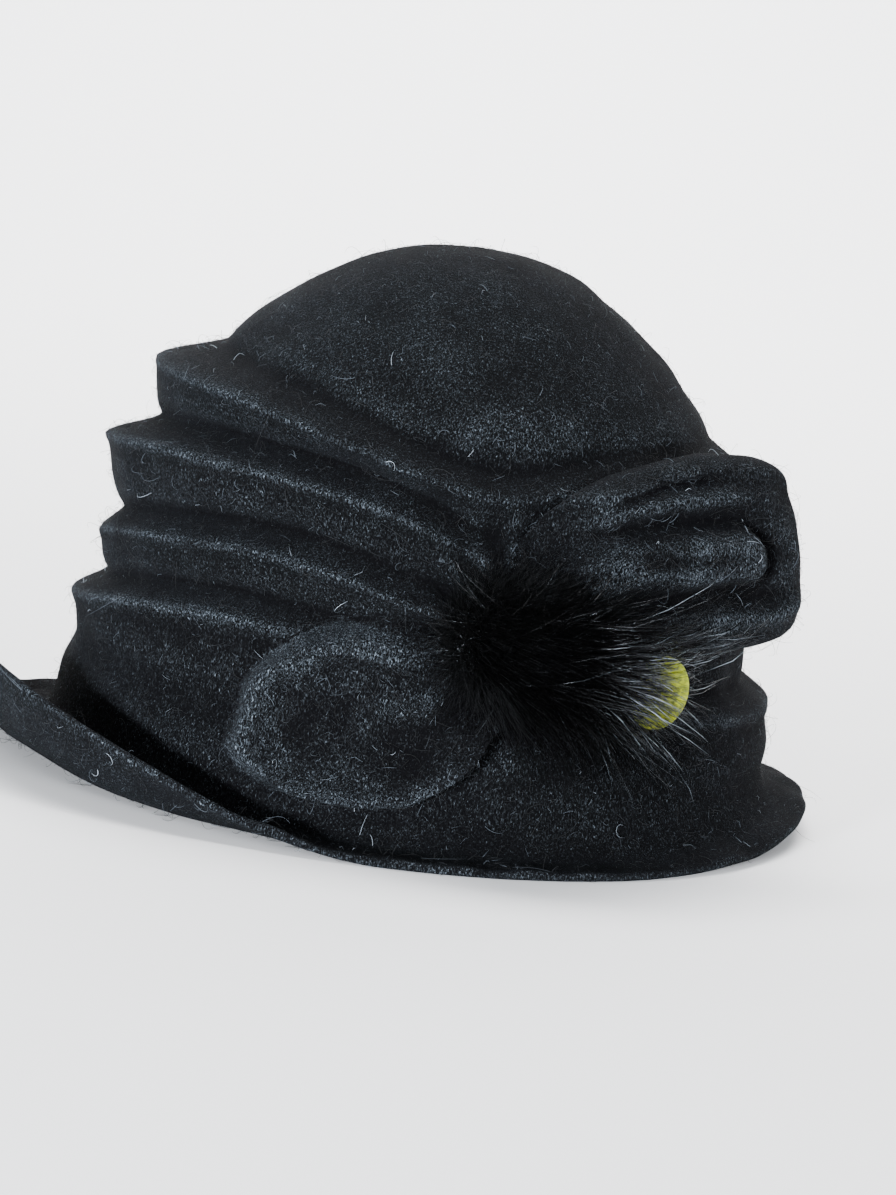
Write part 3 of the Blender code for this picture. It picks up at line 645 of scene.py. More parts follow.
def bow_rings(table, faces):
    """Gives a bow piece's closed sections along its length, each one round its edges."""
    first, last = table[0][0], table[-1][0]
    share = (1 - np.cos(np.linspace(0, math.pi, BOW_STATIONS)))[:, None] / 2
    azimuth = first + (last - first) * share
    front_across = (1 - np.cos(np.linspace(0, math.pi, BOW_FRONT)))[None] / 2
    back_across = (1 - np.cos(np.linspace(math.pi, 0, BOW_BACK)[1:-1]))[None] / 2
    front_height, _, front = faces(azimuth, front_across)
    back_height, back, _ = faces(azimuth, back_across)
    height = np.concatenate((front_height, back_height), 1)
    return on_wall(azimuth, height, np.concatenate((front, back), 1))


def disc_seat():
    """Gives how far the disc's back stands out from the plain wall."""
    return float(tuck_swell(DISC_AZIMUTH, DISC_HEIGHT)) + DISC_STAND


def cover_map():
    """Works out how far felt, bow and disc stand out on a grid of azimuths and heights."""
    azimuth, height = np.meshgrid(COVER_AZIMUTHS, COVER_HEIGHTS, indexing="ij")
    cover = body_out(azimuth, height)
    for table, faces in ((UPPER_LOOP, upper_faces), (LOWER_LOBE, lower_faces)):
        first, last = sorted((table[0][0], table[-1][0]))
        low, high = (column(table, i, azimuth) * CROWN_HEIGHT for i in (1, 2))
        across = (height - low) / (high - low)
        front = faces(np.clip(azimuth, first, last), np.clip(across, 0, 1))[2]
        under = (azimuth >= first) & (azimuth <= last) & (across >= 0) & (across <= 1)
        cover = np.where(under, np.maximum(cover, front), cover)
    aside = np.radians(azimuth - DISC_AZIMUTH) * HALF_LENGTH
    over_disc = np.hypot(aside, height - DISC_HEIGHT) < DISC_DIAMETER / 2 + 0.001
    return np.where(over_disc, np.maximum(cover, disc_seat() + DISC_THICKNESS), cover)


COVER = cover_map()


def cover_out(azimuth, height):
    """Reads the cover map between its grid points."""
    x = (azimuth - COVER_AZIMUTHS[0]) * COVER_PER_DEGREE
    y = (height - COVER_HEIGHTS[0]) * COVER_PER_METRE
    x = np.clip(x, 0, len(COVER_AZIMUTHS) - 1.01)
    y = np.clip(y, 0, len(COVER_HEIGHTS) - 1.01)
    i, j = x.astype(int), y.astype(int)
    s, t = x - i, y - j
    return ((COVER[i, j] * (1 - t) + COVER[i, j + 1] * t) * (1 - s)
            + (COVER[i + 1, j] * (1 - t) + COVER[i + 1, j + 1] * t) * s)


def srgb(code):
    """Turns an sRGB hex colour into linear values."""
    values = [int(code[i:i + 2], 16) / 255 for i in (1, 3, 5)]
    linear = [v / 12.92 if v <= 0.04045 else ((v + 0.055) / 1.055) ** 2.4 for v in values]
    return (*linear, 1.0)


def add_node(tree, kind, settings=None, links=None):
    """Adds a node with its settings and links; a number or a capitalised name is an input."""
    node = tree.nodes.new(kind)
    for name, value in (settings or {}).items():
        if isinstance(name, int) or name[0].isupper():
            node.inputs[name].default_value = value
        else:
            setattr(node, name, value)
    for name, source in (links or {}).items():
        tree.links.new(source, node.inputs[name])
    return node


def new_material(name, settings):
    """Starts a material from its shader's own values."""
    material = bpy.data.materials.new(name)
    material.use_nodes = True
    tree = material.node_tree
    shader = tree.nodes["Principled BSDF"]
    for key, value in settings.items():
        shader.inputs[key].default_value = value
    return material, tree, shader


def ramp(tree, factor, stops):
    """Adds a colour ramp with stops of place and hex colour."""
    node = add_node(tree, "ShaderNodeValToRGB", None, {"Fac": factor})
    elements = node.color_ramp.elements
    while len(elements) < len(stops):
        elements.new(0.5)
    for element, (place, code) in zip(elements, stops):
        element.position = place
        element.color = srgb(code)
    return node.outputs["Color"]


def boiled_wool():
    """Boiled wool: a knit felted in hot water, matt, with matted fibres and the knit just seen."""
    material, tree, shader = new_material("boiled_wool_black", {
        "Roughness": 0.97, "Specular IOR Level": 0.04, "Sheen Weight": 0.010,
        "Sheen Roughness": 0.35, "Sheen Tint": srgb("#a4b4c4"),
    })
    place = add_node(tree, "ShaderNodeTexCoord").outputs["Object"]
    # the nap was brushed down the crown, so its hairs look nearly three times as long as wide
    nap = add_node(tree, "ShaderNodeMapping", {"Scale": (1.0, 1.0, 0.38)}, {"Vector": place})
    # matted fibres, 0.3 mm apart, drawn twisted so that they read as short hairs
    fibres = add_node(tree, "ShaderNodeTexNoise",
                      {"Scale": 3100.0, "Detail": 2.0, "Roughness": 0.5, "Distortion": 1.0},
                      {"Vector": nap.outputs["Vector"]})
    # the knit's stitches, 1.1 mm apart
    stitches = add_node(tree, "ShaderNodeTexVoronoi", {"feature": "F1", "Scale": 900.0},
                        {"Vector": place})
    # thin places, 12 mm across
    clouds = add_node(tree, "ShaderNodeTexNoise", {"Scale": 85.0, "Detail": 2.0},
                      {"Vector": place})
    mixed = add_node(tree, "ShaderNodeMix", {"data_type": "FLOAT", "Factor": 0.10},
                     {"A": fibres.outputs["Fac"], "B": clouds.outputs["Fac"]})
    # painted highlight and shade: the colour is lighter on each ridge and darker in each crease,
    # where light and shade fall
    ridge_light = add_node(tree, "ShaderNodeAttribute", {"attribute_name": "ridge_light"})
    tone_and_painted_light = add_node(tree, "ShaderNodeMath", {"operation": "MULTIPLY_ADD", 1: RIDGE_LIGHT_SHARE},
                    {0: ridge_light.outputs["Fac"], 2: mixed.outputs["Result"]})
    stops = ((0.44, "#020203"), (0.53, "#060607"), (0.60, "#101214"), (0.68, "#272b2f"),
             (0.80, "#5a626a"))
    tree.links.new(ramp(tree, tone_and_painted_light.outputs["Value"], stops), shader.inputs["Base Color"])
    knit = add_node(tree, "ShaderNodeBump", {"Strength": 0.30, "Distance": 0.0004},
                    {"Height": stitches.outputs["Distance"]})
    fluff = add_node(tree, "ShaderNodeBump", {"Strength": 0.80, "Distance": 0.0008},
                     {"Height": fibres.outputs["Fac"], "Normal": knit.outputs["Normal"]})
    tree.links.new(fluff.outputs["Normal"], shader.inputs["Normal"])
    return material


def wool_fibres():
    """Loose wool hairs on the felt: matt, from black to pale grey by the hair's own tone."""
    material, tree, shader = new_material("loose_wool_fibre", {
        "Roughness": 0.75, "Specular IOR Level": 0.25,
    })
    tone_and_painted_light = add_node(tree, "ShaderNodeAttribute", {"attribute_name": "tone_and_painted_light"})
    stops = ((0.0, "#060708"), (0.55, "#14171a"), (0.85, "#454c54"), (1.0, "#a3acb6"))
    tree.links.new(ramp(tree, tone_and_painted_light.outputs["Fac"], stops), shader.inputs["Base Color"])
    return material


def fur(name, codes, roughness, gloss):
    """Fur hair: black keratin with smooth scales, so a sharp glint near each tip, its blue-white
    painted into the colour as well as given by the gloss.
    """
    material, tree, shader = new_material(name, {
        "Roughness": roughness, "IOR": 1.55, "Specular Tint": srgb("#e9f1fb"),
    })
    tone_and_painted_light = add_node(tree, "ShaderNodeAttribute", {"attribute_name": "tone_and_painted_light"})
    # the roots lie deep among other hairs, where no light comes back from them
    glint = add_node(tree, "ShaderNodeMath", {"operation": "MULTIPLY", 1: gloss},
                     {0: tone_and_painted_light.outputs["Fac"]})
    tree.links.new(glint.outputs["Value"], shader.inputs["Specular IOR Level"])
    # painted glint: the lightest stop, blue-white, is reached only where a hair's glint is strong
    stops = tuple(zip((0.22, 0.50, 0.82), codes))
    tree.links.new(ramp(tree, tone_and_painted_light.outputs["Fac"], stops), shader.inputs["Base Color"])
    return material


def moulded_disc():
    """Moulded plastic, thinly lacquered: softly glossy, a little cloudy in its yellow-green."""
    material, tree, shader = new_material("yellow_green_plastic", {
        "Roughness": 0.42, "IOR": 1.49, "Specular IOR Level": 0.20, "Coat Weight": 0.06,
        "Coat Roughness": 0.2,
    })
    place = add_node(tree, "ShaderNodeTexCoord").outputs["Object"]
    # cloudy streaks 3 mm apart and fine scuffs 0.3 mm apart
    clouds = add_node(tree, "ShaderNodeTexNoise",
                      {"Scale": 330.0, "Detail": 3.0, "Distortion": 0.8}, {"Vector": place})
    scuffs = add_node(tree, "ShaderNodeTexNoise", {"Scale": 3200.0, "Detail": 2.0},
                      {"Vector": place})
    stops = ((0.32, "#4e5800"), (0.55, "#879100"), (0.75, "#b0ba00"))
    tree.links.new(ramp(tree, clouds.outputs["Fac"], stops), shader.inputs["Base Color"])
    bump = add_node(tree, "ShaderNodeBump", {"Strength": 0.08, "Distance": 0.0002},
                    {"Height": scuffs.outputs["Fac"]})
    tree.links.new(bump.outputs["Normal"], shader.inputs["Normal"])
    return material


def put_mesh(name, points, quads, triangles, material):
    """Puts whole arrays of points and faces into a mesh whose object stays at the origin."""
    mesh = bpy.data.meshes.new(name)
    corners = np.concatenate((quads.ravel(), triangles.ravel())).astype(np.int32)
    quad_starts = np.arange(len(quads)) * 4
    starts = np.concatenate((quad_starts, quads.size + np.arange(len(triangles)) * 3))
    mesh.vertices.add(len(points))
    mesh.vertices.foreach_set("co", np.asarray(points, np.float32).ravel())
    mesh.loops.add(len(corners))
    mesh.loops.foreach_set("vertex_index", corners)
    mesh.polygons.add(len(starts))
    mesh.polygons.foreach_set("loop_start", starts.astype(np.int32))
    mesh.polygons.foreach_set("use_smooth", np.ones(len(starts), bool))
    mesh.update(calc_edges=True)
    mesh.validate()
    mesh.materials.append(material)
    item = bpy.data.objects.new(name, mesh)
    bpy.context.scene.collection.objects.link(item)
    return item


def ring_quads(rows, count):
    """Gives the faces between closed rows of count points each."""
    i, j = np.meshgrid(np.arange(rows - 1), np.arange(count), indexing="ij")
    k = (j + 1) % count
    here, above = i * count, (i + 1) * count
    return np.stack((here + j, here + k, above + k, above + j), -1).reshape(-1, 4)


def fan(first, count, middle, forward):
    """Gives the triangles from a closed row to one middle point."""
    j = np.arange(count)
    a, b = first + j, first + (j + 1) % count
    centre = np.full(count, middle)
    return np.stack((a, b, centre) if forward else (b, a, centre), -1)


def put_rings(name, rows, ends, material):
    """Puts closed rows of points into a mesh, with a fan over each end to its own middle point."""
    count, around = rows.shape[:2]
    total = count * around
    points = np.concatenate((rows.reshape(-1, 3), ends))
    triangles = np.concatenate((fan(0, around, total, False),
                                fan(total - around, around, total + 1, True)))
    return put_mesh(name, points, ring_quads(count, around), triangles, material)


def stand_out(grid, turns, size, closed):
    """Gives how many sizes each point stands out of the grid's own smoothed copy.

    The copy is smoothed a number of turns by a 1-2-1 mean along both ways of the grid, and the
    distance is taken along the outward normal.
    """
    calm = grid.copy()
    for _ in range(turns):
        calm[1:-1] = (calm[:-2] + 2 * calm[1:-1] + calm[2:]) / 4
        if closed:
            calm = (np.roll(calm, 1, axis=1) + 2 * calm + np.roll(calm, -1, axis=1)) / 4
        else:
            calm[:, 1:-1] = (calm[:, :-2] + 2 * calm[:, 1:-1] + calm[:, 2:]) / 4
    if closed:
        across = np.roll(grid, -1, axis=1) - np.roll(grid, 1, axis=1)
    else:
        across = np.gradient(grid, axis=1)
    normals = np.cross(across, np.gradient(grid, axis=0))
    normals /= np.linalg.norm(normals, axis=-1, keepdims=True) + 1e-12
    out = np.einsum("ijk,ijk->ij", grid - calm, normals)
    return np.clip(out / size, -RELIEF_LIMIT, RELIEF_LIMIT)


def store_ridge_light(item, ridge_light):
    """Stores the painted ridge light, how far the first points stand out; the others keep none."""
    values = np.zeros(len(item.data.vertices), np.float32)
    values[:ridge_light.size] = ridge_light.ravel()
    item.data.attributes.new("ridge_light", "FLOAT", "POINT").data.foreach_set("value", values)


def make_body(grids, shift, material):
    """Makes crown, tucks and brim as one hollow felt with a closed top inside and out."""
    outer, rim, inner = grids
    rows = np.concatenate((outer[::-1], rim, inner))[:, ::-1]
    ends = np.array(((0, 0, CROWN_HEIGHT), (0, 0, CROWN_HEIGHT - FELT)))
    body = put_rings("felt_body_cloth", rows + shift, ends + shift, material)
    # painted highlight and shade: lighter colour on the felt's ridges, darker in its creases
    store_ridge_light(body, stand_out(rows, BODY_CALM, BODY_RELIEF, True))
    return body, outer + shift, inner[BRIM_ROWS::-1] + shift


def make_bow(name, table, faces, shift, material, forward, calm, size):
    """Makes one piece of the bow as closed sections along its length, with fans over its ends.

    Its painted ridge light fades out towards the knot, where the cloth is pinched and its grid
    is dense.
    """
    rings = bow_rings(table, faces) + shift
    if forward:
        rings = rings[:, ::-1]
    rows, count = rings.shape[:2]
    piece = put_rings(name, rings, rings[[0, -1]].mean(axis=1), material)
    shown = slice(count - BOW_FRONT, count) if forward else slice(0, BOW_FRONT)
    share = (1 - np.cos(np.linspace(0, math.pi, rows))) / 2
    ridge_light = np.zeros((rows, count))
    ridge_light[:, shown] = stand_out(rings[:, shown], calm, size, False)
    ridge_light[:, shown] *= smooth(share / KNOT_SHADE)[:, None]
    store_ridge_light(piece, ridge_light)
    return piece, rings[:, shown]


def make_disc(shift, material):
    """Makes the disc as a profile turned round its axis.

    The profile runs from the middle of a flat back round a half-ellipse rim to a face that is
    sunk a little in it.
    """
    half, thick, edge = DISC_DIAMETER / 2, DISC_THICKNESS, DISC_RIM / 2
    turn = np.linspace(0, np.pi, DISC_RIM_STEPS)
    rim_out = half - edge + edge * np.sin(turn)
    rim_up = thick / 2 - thick / 2 * np.cos(turn)
    inner_out = np.array((half - DISC_RIM, half - DISC_RIM * 1.5, half * 0.6, half * 0.2))
    inner_up = thick * np.array((0.95, 0.82, 0.86, 0.88))
    reach = np.concatenate(((half * 0.2, half * 0.8), rim_out, inner_out))
    up = np.concatenate(((0, 0), rim_up, inner_up))
    around = np.arange(DISC_AROUND) * 2 * np.pi / DISC_AROUND
    facing = outward(DISC_AZIMUTH)
    side = np.array((-facing[1], facing[0], 0.0))
    middle = on_wall(DISC_AZIMUTH, DISC_HEIGHT, disc_seat()) + shift
    level = np.array((0, 0, 1.0))
    across = side * np.cos(around)[:, None] + level * np.sin(around)[:, None]
    rows = middle + reach[:, None, None] * across[None] + up[:, None, None] * facing
    ends = np.array((middle, middle + facing * inner_up[-1]))
    return put_rings("disc_face", rows, ends, material)


def make_strands(name, paths, radii, tones, material):
    """Makes hairs as closed three-sided tapering tubes along their paths (hair, step, xyz)."""
    hairs, steps = paths.shape[:2]
    along = np.gradient(paths, axis=1)
    along /= np.linalg.norm(along, axis=-1, keepdims=True) + 1e-12
    side = np.cross(along, np.array((0.31, 0.22, 0.93)))
    side /= np.linalg.norm(side, axis=-1, keepdims=True) + 1e-12
    over = np.cross(along, side)
    turn = np.arange(3) * 2 * np.pi / 3
    ring = side[:, :, None] * np.cos(turn)[:, None] + over[:, :, None] * np.sin(turn)[:, None]
    points = paths[:, :, None] + radii[:, :, None, None] * ring
    i, j, k = np.meshgrid(np.arange(hairs), np.arange(steps - 1), np.arange(3), indexing="ij")
    base = (i * steps + j) * 3
    after = (k + 1) % 3
    quads = np.stack((base + k, base + after, base + 3 + after, base + 3 + k), -1).reshape(-1, 4)
    first = np.arange(hairs)[:, None] * steps * 3
    last = first + (steps - 1) * 3
    triangles = np.concatenate((first + np.array((2, 1, 0)), last + np.array((0, 1, 2))))
    item = put_mesh(name, points.reshape(-1, 3), quads, triangles, material)
    values = np.repeat(np.broadcast_to(tones, (steps, hairs)).T, 3).astype(np.float32)
    item.data.attributes.new("tone_and_painted_light", "FLOAT", "POINT").data.foreach_set("value", values)
    return item


def guard_hair_paths(shift, chance):
    """Gives the long hairs' paths, radii and tones.

    Each lock leaves the head, arches as a half sine and falls on what is below, and its hairs
    close in to its tip. A hair's reach is a power of the share of its length. Its tone is a bell
    along it, the painted glint, times its own chance.
    """
    hairs = GUARD_LOCKS * GUARD_HAIRS
    lock = np.repeat(np.arange(GUARD_LOCKS), GUARD_HAIRS)
    sweep = math.radians(TUFT_SWEEP)
    slots = np.arange(GUARD_LOCKS) + chance.uniform(0.2, 0.8, GUARD_LOCKS)
    spread = 2 * slots / GUARD_LOCKS - 1
    turned = np.sign(spread) * 180 * np.abs(spread) ** SWEEP_POWER
    direction = np.radians(TUFT_SWEEP + turned)
    along = np.clip(np.cos(direction - sweep), 0, 1) ** 2.2
    length = GUARD_LENGTH * (SHORT_SHARE + (1 - SHORT_SHARE) * along)
    length = length * chance.uniform(0.72, 1.05, GUARD_LOCKS)
    arch = chance.uniform(0.003, 0.009, GUARD_LOCKS) * (0.6 + 0.6 * along)
    bend = np.radians(chance.normal(0, 9, GUARD_LOCKS))
    tip_clear = chance.uniform(0.0006, 0.004, GUARD_LOCKS)
    share = np.linspace(0, 1, GUARD_STEPS + 1)[None]
    own = chance.uniform(0.55, 1.10, hairs)[:, None]
    direction_here = direction + np.radians(chance.normal(0, 5, GUARD_LOCKS))
    turn = direction_here[lock][:, None] + bend[lock][:, None] * share
    turn = turn + np.radians(chance.normal(0, 7.0, hairs))[:, None]
    lock_length = length[lock][:, None]
    reach = lock_length * own * share ** 1.15
    root = TUFT_RADIUS * 0.75 * np.sqrt(chance.uniform(0, 1, hairs))
    root_turn = chance.uniform(0, 2 * np.pi, hairs)
    close = 1 - LOCK_CLOSING * share
    aside = reach * np.cos(turn) + (root * np.cos(root_turn))[:, None] * close
    up = reach * np.sin(turn) + (root * np.sin(root_turn))[:, None] * close
    up = up - GUARD_SAG * lock_length * share ** 2
    azimuth = TUFT_AZIMUTH + np.degrees(aside / HALF_DEPTH)
    height = TUFT_HEIGHT + up
    cover = cover_out(azimuth, height)
    start = cover[:, :1] + chance.uniform(0.003, 0.011, hairs)[:, None]
    end = cover[:, -1:] + (tip_clear[lock] * chance.uniform(0.3, 1.2, hairs))[:, None]
    rise = (arch[lock] * chance.uniform(0.6, 1.2, hairs))[:, None]
    out = start + (end - start) * smooth(share) + rise * np.sin(np.pi * share ** 0.8)
    paths = on_wall(azimuth, height, np.maximum(out, cover + GUARD_CLEAR)) + shift
    radii = GUARD_RADIUS * (1 - 0.8 * share ** 2) * chance.uniform(0.7, 1.2, hairs)[:, None]
    # painted glint: hairs that point near the sweep, and a few others, get a pale stretch near the
    # tip
    off_sweep = direction - math.radians(TUFT_SWEEP + GLINT_TURN)
    facing = bell(off_sweep, math.radians(GLINT_SPREAD))[lock][:, None]
    rare = (chance.uniform(0, 1, hairs) > GLINT_RARE)[:, None]
    place = chance.uniform(0.6, 1.0, hairs)[:, None]
    glint = np.maximum(0.10, np.maximum(facing, 0.6 * rare)) * bell(share - place, GLINT_LENGTH)
    return paths, radii, (chance.uniform(0, 1, hairs)[:, None] ** 1.7 * glint).T


def under_hair_paths(shift, chance):
    """Gives the paths, radii and tones of the short dense hairs that hide the head.

    They stand out of it and lean away from its middle, more so the farther out they grow.
    """
    root = TUFT_RADIUS * np.sqrt(chance.uniform(0, 1, UNDER_HAIRS))
    root_turn = chance.uniform(0, 2 * np.pi, UNDER_HAIRS)
    share = np.linspace(0, 1, UNDER_STEPS + 1)[None]
    length = UNDER_LENGTH * chance.uniform(0.6, 1.25, UNDER_HAIRS)[:, None]
    off_middle = root / TUFT_RADIUS
    lean = np.clip(off_middle + chance.normal(0, 0.2, UNDER_HAIRS), 0.05, 1.2)[:, None]
    turn = (root_turn + chance.normal(0, 0.45, UNDER_HAIRS))[:, None]
    sweep = length * UNDER_SWEEP * share ** 1.5
    away = length * lean * share
    aside = (root * np.cos(root_turn))[:, None] + away * np.cos(turn) + sweep
    up = (root * np.sin(root_turn))[:, None] + away * np.sin(turn) - 0.2 * sweep
    azimuth = TUFT_AZIMUTH + np.degrees(aside / HALF_DEPTH)
    height = TUFT_HEIGHT + up
    cover = cover_out(azimuth, height)
    dome = TUFT_DEPTH * 0.55 * np.sqrt(np.clip(1 - off_middle ** 2, 0, 1))[:, None]
    start = cover[:, :1] + dome * 0.6 + 0.001
    out = start + length * (1.15 - lean * 0.75) * share ** 0.9
    paths = on_wall(azimuth, height, np.maximum(out, cover + UNDER_CLEAR)) + shift
    radii = UNDER_RADIUS * (1 - 0.75 * share)
    radii = radii * chance.uniform(0.7, 1.2, UNDER_HAIRS)[:, None]
    return paths, radii, chance.uniform(0, 1, UNDER_HAIRS)


def make_fur_core(shift, material):
    """Makes the dark skin under the hairs: the upper half of an ellipsoid, flat below.

    It stands on a level halfway between what is below it and the mean of that.
    """
    rise = np.linspace(0, np.pi, SKIN_ROWS + 2)[1:-1][:, None]
    turn = (np.arange(SKIN_AROUND) * 2 * np.pi / SKIN_AROUND)[None]
    aside = TUFT_RADIUS * SKIN_SHARE * np.sin(rise) * np.cos(turn)
    up = TUFT_RADIUS * SKIN_SHARE * np.sin(rise) * np.sin(turn)
    azimuth, height = TUFT_AZIMUTH + np.degrees(aside / HALF_DEPTH), TUFT_HEIGHT + up
    cover = cover_out(azimuth, height)
    level = np.maximum(cover, cover.mean()) * 0.5 + cover * 0.5
    lift = TUFT_DEPTH * 0.6 * np.cos(rise) * (1 + 0.12 * np.sin(5 * turn))
    out = level + np.maximum(lift, 0) + SKIN_CLEAR
    out = out + SKIN_CROWN * np.sin(rise) * (rise < np.pi / 2)
    rows = on_wall(azimuth, height, out) + shift
    poles = on_wall(TUFT_AZIMUTH, TUFT_HEIGHT, out[[0, -1]].mean(axis=1)) + shift
    return put_rings("fur_skin", rows, poles, material)


def scatter(grid, count, chance, closed):
    """Picks places on a grid surface evenly by area, with the normal and a level way along it."""
    after = np.roll(grid, -1, axis=1) if closed else grid[:, 1:]
    left = grid if closed else grid[:, :-1]
    a, b, c, d = left[:-1], after[:-1], after[1:], left[1:]
    cross = np.cross(c - a, d - b)
    area = np.linalg.norm(cross, axis=-1)
    pick = np.searchsorted(np.cumsum(area.ravel()) / area.sum(), chance.uniform(0, 1, count))
    a, b, c, d = (q.reshape(-1, 3)[pick] for q in (a, b, c, d))
    s, t = chance.uniform(0, 1, (2, count, 1))
    points = (a * (1 - s) + b * s) * (1 - t) + (d * (1 - s) + c * s) * t
    normals = cross.reshape(-1, 3)[pick] / (area.ravel()[pick][:, None] + 1e-15)
    level = b - a
    return points, normals, level / (np.linalg.norm(level, axis=-1, keepdims=True) + 1e-12)


def fibre_paths(points, normals, level, lengths, lifts, curls, chance, steps):
    """Gives fibres that curl in the felt's face and stand off it by a half sine plus a slope."""
    count = len(points)
    share = np.linspace(0, 1, steps + 1)[None]
    start = chance.uniform(0, 2 * np.pi, count)[:, None]
    turn = start + curls[:, None] * (share - 0.3)
    step = lengths[:, None] / steps
    over = np.cross(normals, level)
    east = np.cumsum(np.cos(turn) * step, axis=1) - np.cos(turn[:, :1]) * step
    north = np.cumsum(np.sin(turn) * step, axis=1) - np.sin(turn[:, :1]) * step
    off = lifts[:, None] * (0.35 * share + np.sin(np.pi * share * 0.85))
    return (points[:, None] + east[..., None] * level[:, None] + north[..., None] * over[:, None]
            + off[..., None] * normals[:, None])


def make_fuzz(name, surfaces, count, length, lift, curl, radius, tones, seed, steps, parts, hair):
    """Makes loose fibres over surfaces, each one with its share, and spread there by area."""
    chance = np.random.default_rng(seed)
    picks = [scatter(grid, int(count * part), chance, closed)
             for (grid, closed), part in zip(surfaces, parts)]
    points, normals, level = (np.concatenate(q) for q in zip(*picks))
    total = len(points)
    lengths = length * chance.gamma(2.2, 0.45, total).clip(0.25, 3.2)
    lifts = lift * chance.gamma(2.0, 0.5, total).clip(0.1, 2.5)
    curls = chance.normal(0, curl, total)
    paths = fibre_paths(points, normals, level, lengths, lifts, curls, chance, steps)
    paths[..., 2] = np.maximum(paths[..., 2], 2 * radius)
    taper = radius * (1 - 0.6 * np.linspace(0, 1, steps + 1) ** 2)
    darkest, lightest = tones
    own = darkest + (lightest - darkest) * chance.uniform(0, 1, total) ** 2.5
    return make_strands(name, paths, np.broadcast_to(taper, paths.shape[:2]), own, hair)


def stage_sweep():
    """Makes the pale floor that sweeps up behind: flat, then a quarter turn, then upright."""
    turn = np.linspace(0, np.pi / 2, 24)[1:]
    flat = np.linspace(FLOOR_FRONT, FLOOR_BACK, 22)
    wall = FLOOR_BACK + SWEEP_RADIUS
    depth = np.concatenate((flat, FLOOR_BACK + SWEEP_RADIUS * np.sin(turn), (wall, wall)))
    curve = SWEEP_RADIUS - SWEEP_RADIUS * np.cos(turn)
    rise = np.concatenate((np.zeros(22), curve, (2.0, SWEEP_TOP)))
    across = np.linspace(-SWEEP_HALF_WIDTH, SWEEP_HALF_WIDTH, 10)
    grid = np.stack(np.broadcast_arrays(across[None], depth[:, None], rise[:, None]), -1)
    i, j = np.meshgrid(np.arange(len(depth) - 1) * 10, np.arange(9), indexing="ij")
    quads = np.stack((i + j, i + j + 1, i + j + 11, i + j + 10), -1).reshape(-1, 4)
    paper = new_material("backdrop_paper", {"Base Color": srgb("#f1f1f2"), "Roughness": 0.9})[0]
    floor = put_mesh("backdrop", grid.reshape(-1, 3), quads, np.zeros((0, 3), int), paper)


def add_light(name, place, aim, size, power, code):
    """Adds a soft square light that faces a point."""
    data = bpy.data.lights.new(name, "AREA")
    data.energy, data.size, data.color = power, size, srgb(code)[:3]
    item = bpy.data.objects.new(name, data)
    item.location = place
    item.rotation_euler = (Vector(aim) - Vector(place)).to_track_quat("-Z", "Y").to_euler()
    bpy.context.scene.collection.objects.link(item)


def add_camera(shift):
    """Places the camera as for the photograph: a little above level, the hat leaning in view."""
    rise, lean = math.radians(CAMERA_RISE), math.radians(CAMERA_LEAN)
    right = Vector((1, 0, 0))
    up = Vector((0, math.sin(rise), math.cos(rise)))
    ahead = Vector((0, math.cos(rise), -math.sin(rise)))
    turned_right = right * math.cos(lean) + up * math.sin(lean)
    turned_up = up * math.cos(lean) - right * math.sin(lean)
    data = bpy.data.cameras.new("camera")
    item = bpy.data.objects.new("camera", data)
    matrix = Matrix((turned_right, turned_up, -ahead)).transposed().to_4x4()
    matrix.translation = Vector(CAMERA_PLACE) + Vector(shift)
    item.matrix_world = matrix
    data.sensor_width = 36.0
    data.lens = CAMERA_LENS
    data.clip_start = 0.01
    bpy.context.scene.collection.objects.link(item)
    bpy.context.scene.camera = item


def hat_shift(grids):
    """Gives the move from the formulas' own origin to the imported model's, from the body's box."""
    low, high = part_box("felt_body")
    points = np.concatenate([grid.reshape(-1, 3) for grid in grids])
    middle = (points.min(axis=0) + points.max(axis=0)) / 2
    return np.array(((low.x + high.x) / 2 - middle[0], (low.y + high.y) / 2 - middle[1], 0.0))


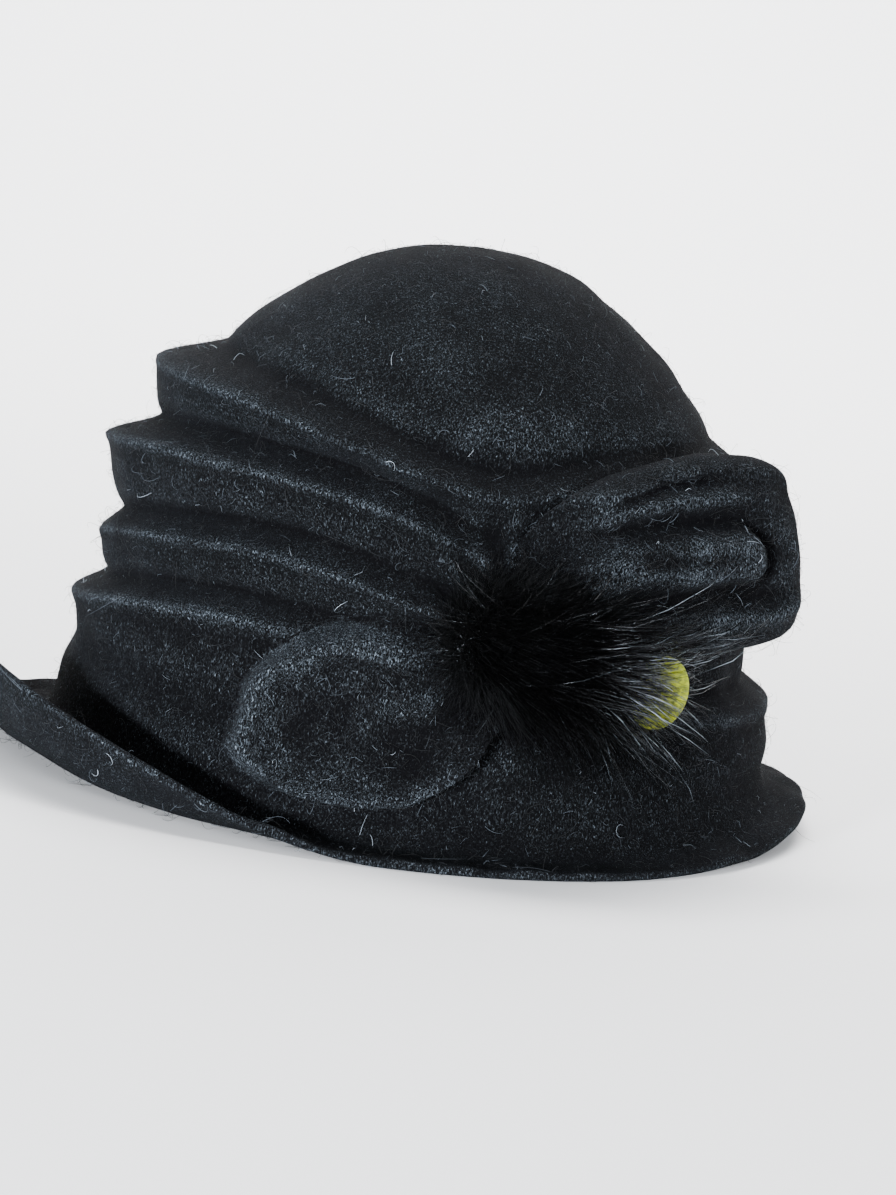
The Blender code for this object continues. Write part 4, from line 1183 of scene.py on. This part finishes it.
def finish_piece(item, slot, *nodes):
    """Lets a piece ride on the hat and hides the nodes that it stands for; its slot is not used."""
    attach(item, "root")
    if nodes:
        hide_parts(*nodes)


def main():
    """Makes all the pieces, the backdrop, the camera and the lights."""
    grids = felt_grids()
    shift = hat_shift(grids)
    wool, hair = boiled_wool(), wool_fibres()
    # the guard hairs' lightest colour, blue-white, is a painted glint
    fur_black = fur("fur_guard_hair", ("#030303", "#30363a", "#c3d0de"), 0.14, 3.0)
    fur_dark = fur("fur_under_hair", ("#020202", "#040404", "#090909"), 0.6, 0.10)
    body, outer, brim_under = make_body(grids, shift, wool)
    upper, upper_front = make_bow("bow_loop_upper_cloth", UPPER_LOOP, upper_faces, shift, wool,
                                  True, UPPER_CALM, UPPER_RELIEF)
    lower, lower_front = make_bow("bow_loop_lower_cloth", LOWER_LOBE, lower_faces, shift, wool,
                                  False, LOWER_CALM, LOWER_RELIEF)
    disc = make_disc(shift, moulded_disc())
    skin = make_fur_core(shift, fur_dark)
    guard_hairs = guard_hair_paths(shift, np.random.default_rng(3))
    guard = make_strands("fur_guard_hairs", *guard_hairs, fur_black)
    under_hairs = under_hair_paths(shift, np.random.default_rng(4))
    under = make_strands("fur_under_hairs", *under_hairs, fur_dark)
    surfaces = ((outer, True), (brim_under, True), (upper_front, False), (lower_front, False))
    fibres = [make_fuzz(name, surfaces, *sizes, hair) for name, *sizes in FIBRES]
    finish_piece(body, "felt", "felt_body")
    finish_piece(upper, "felt", "bow_loop_upper")
    finish_piece(lower, "felt", "bow_loop_lower")
    finish_piece(disc, "disc", "disc")
    finish_piece(skin, "fur", "fur_tuft")
    for item in (guard, under):
        finish_piece(item, "fur")
    for item in fibres:
        finish_piece(item, "felt")
    stage_sweep()
    add_camera(shift)
    for light in LIGHTS:
        add_light(*light)
    world = bpy.data.worlds.new("studio")
    world.use_nodes = True
    background = world.node_tree.nodes["Background"]
    background.inputs["Color"].default_value = srgb(WORLD_COLOUR)
    background.inputs["Strength"].default_value = WORLD_STRENGTH
    bpy.context.scene.world = world


main()
bpy.context.view_layer.update()
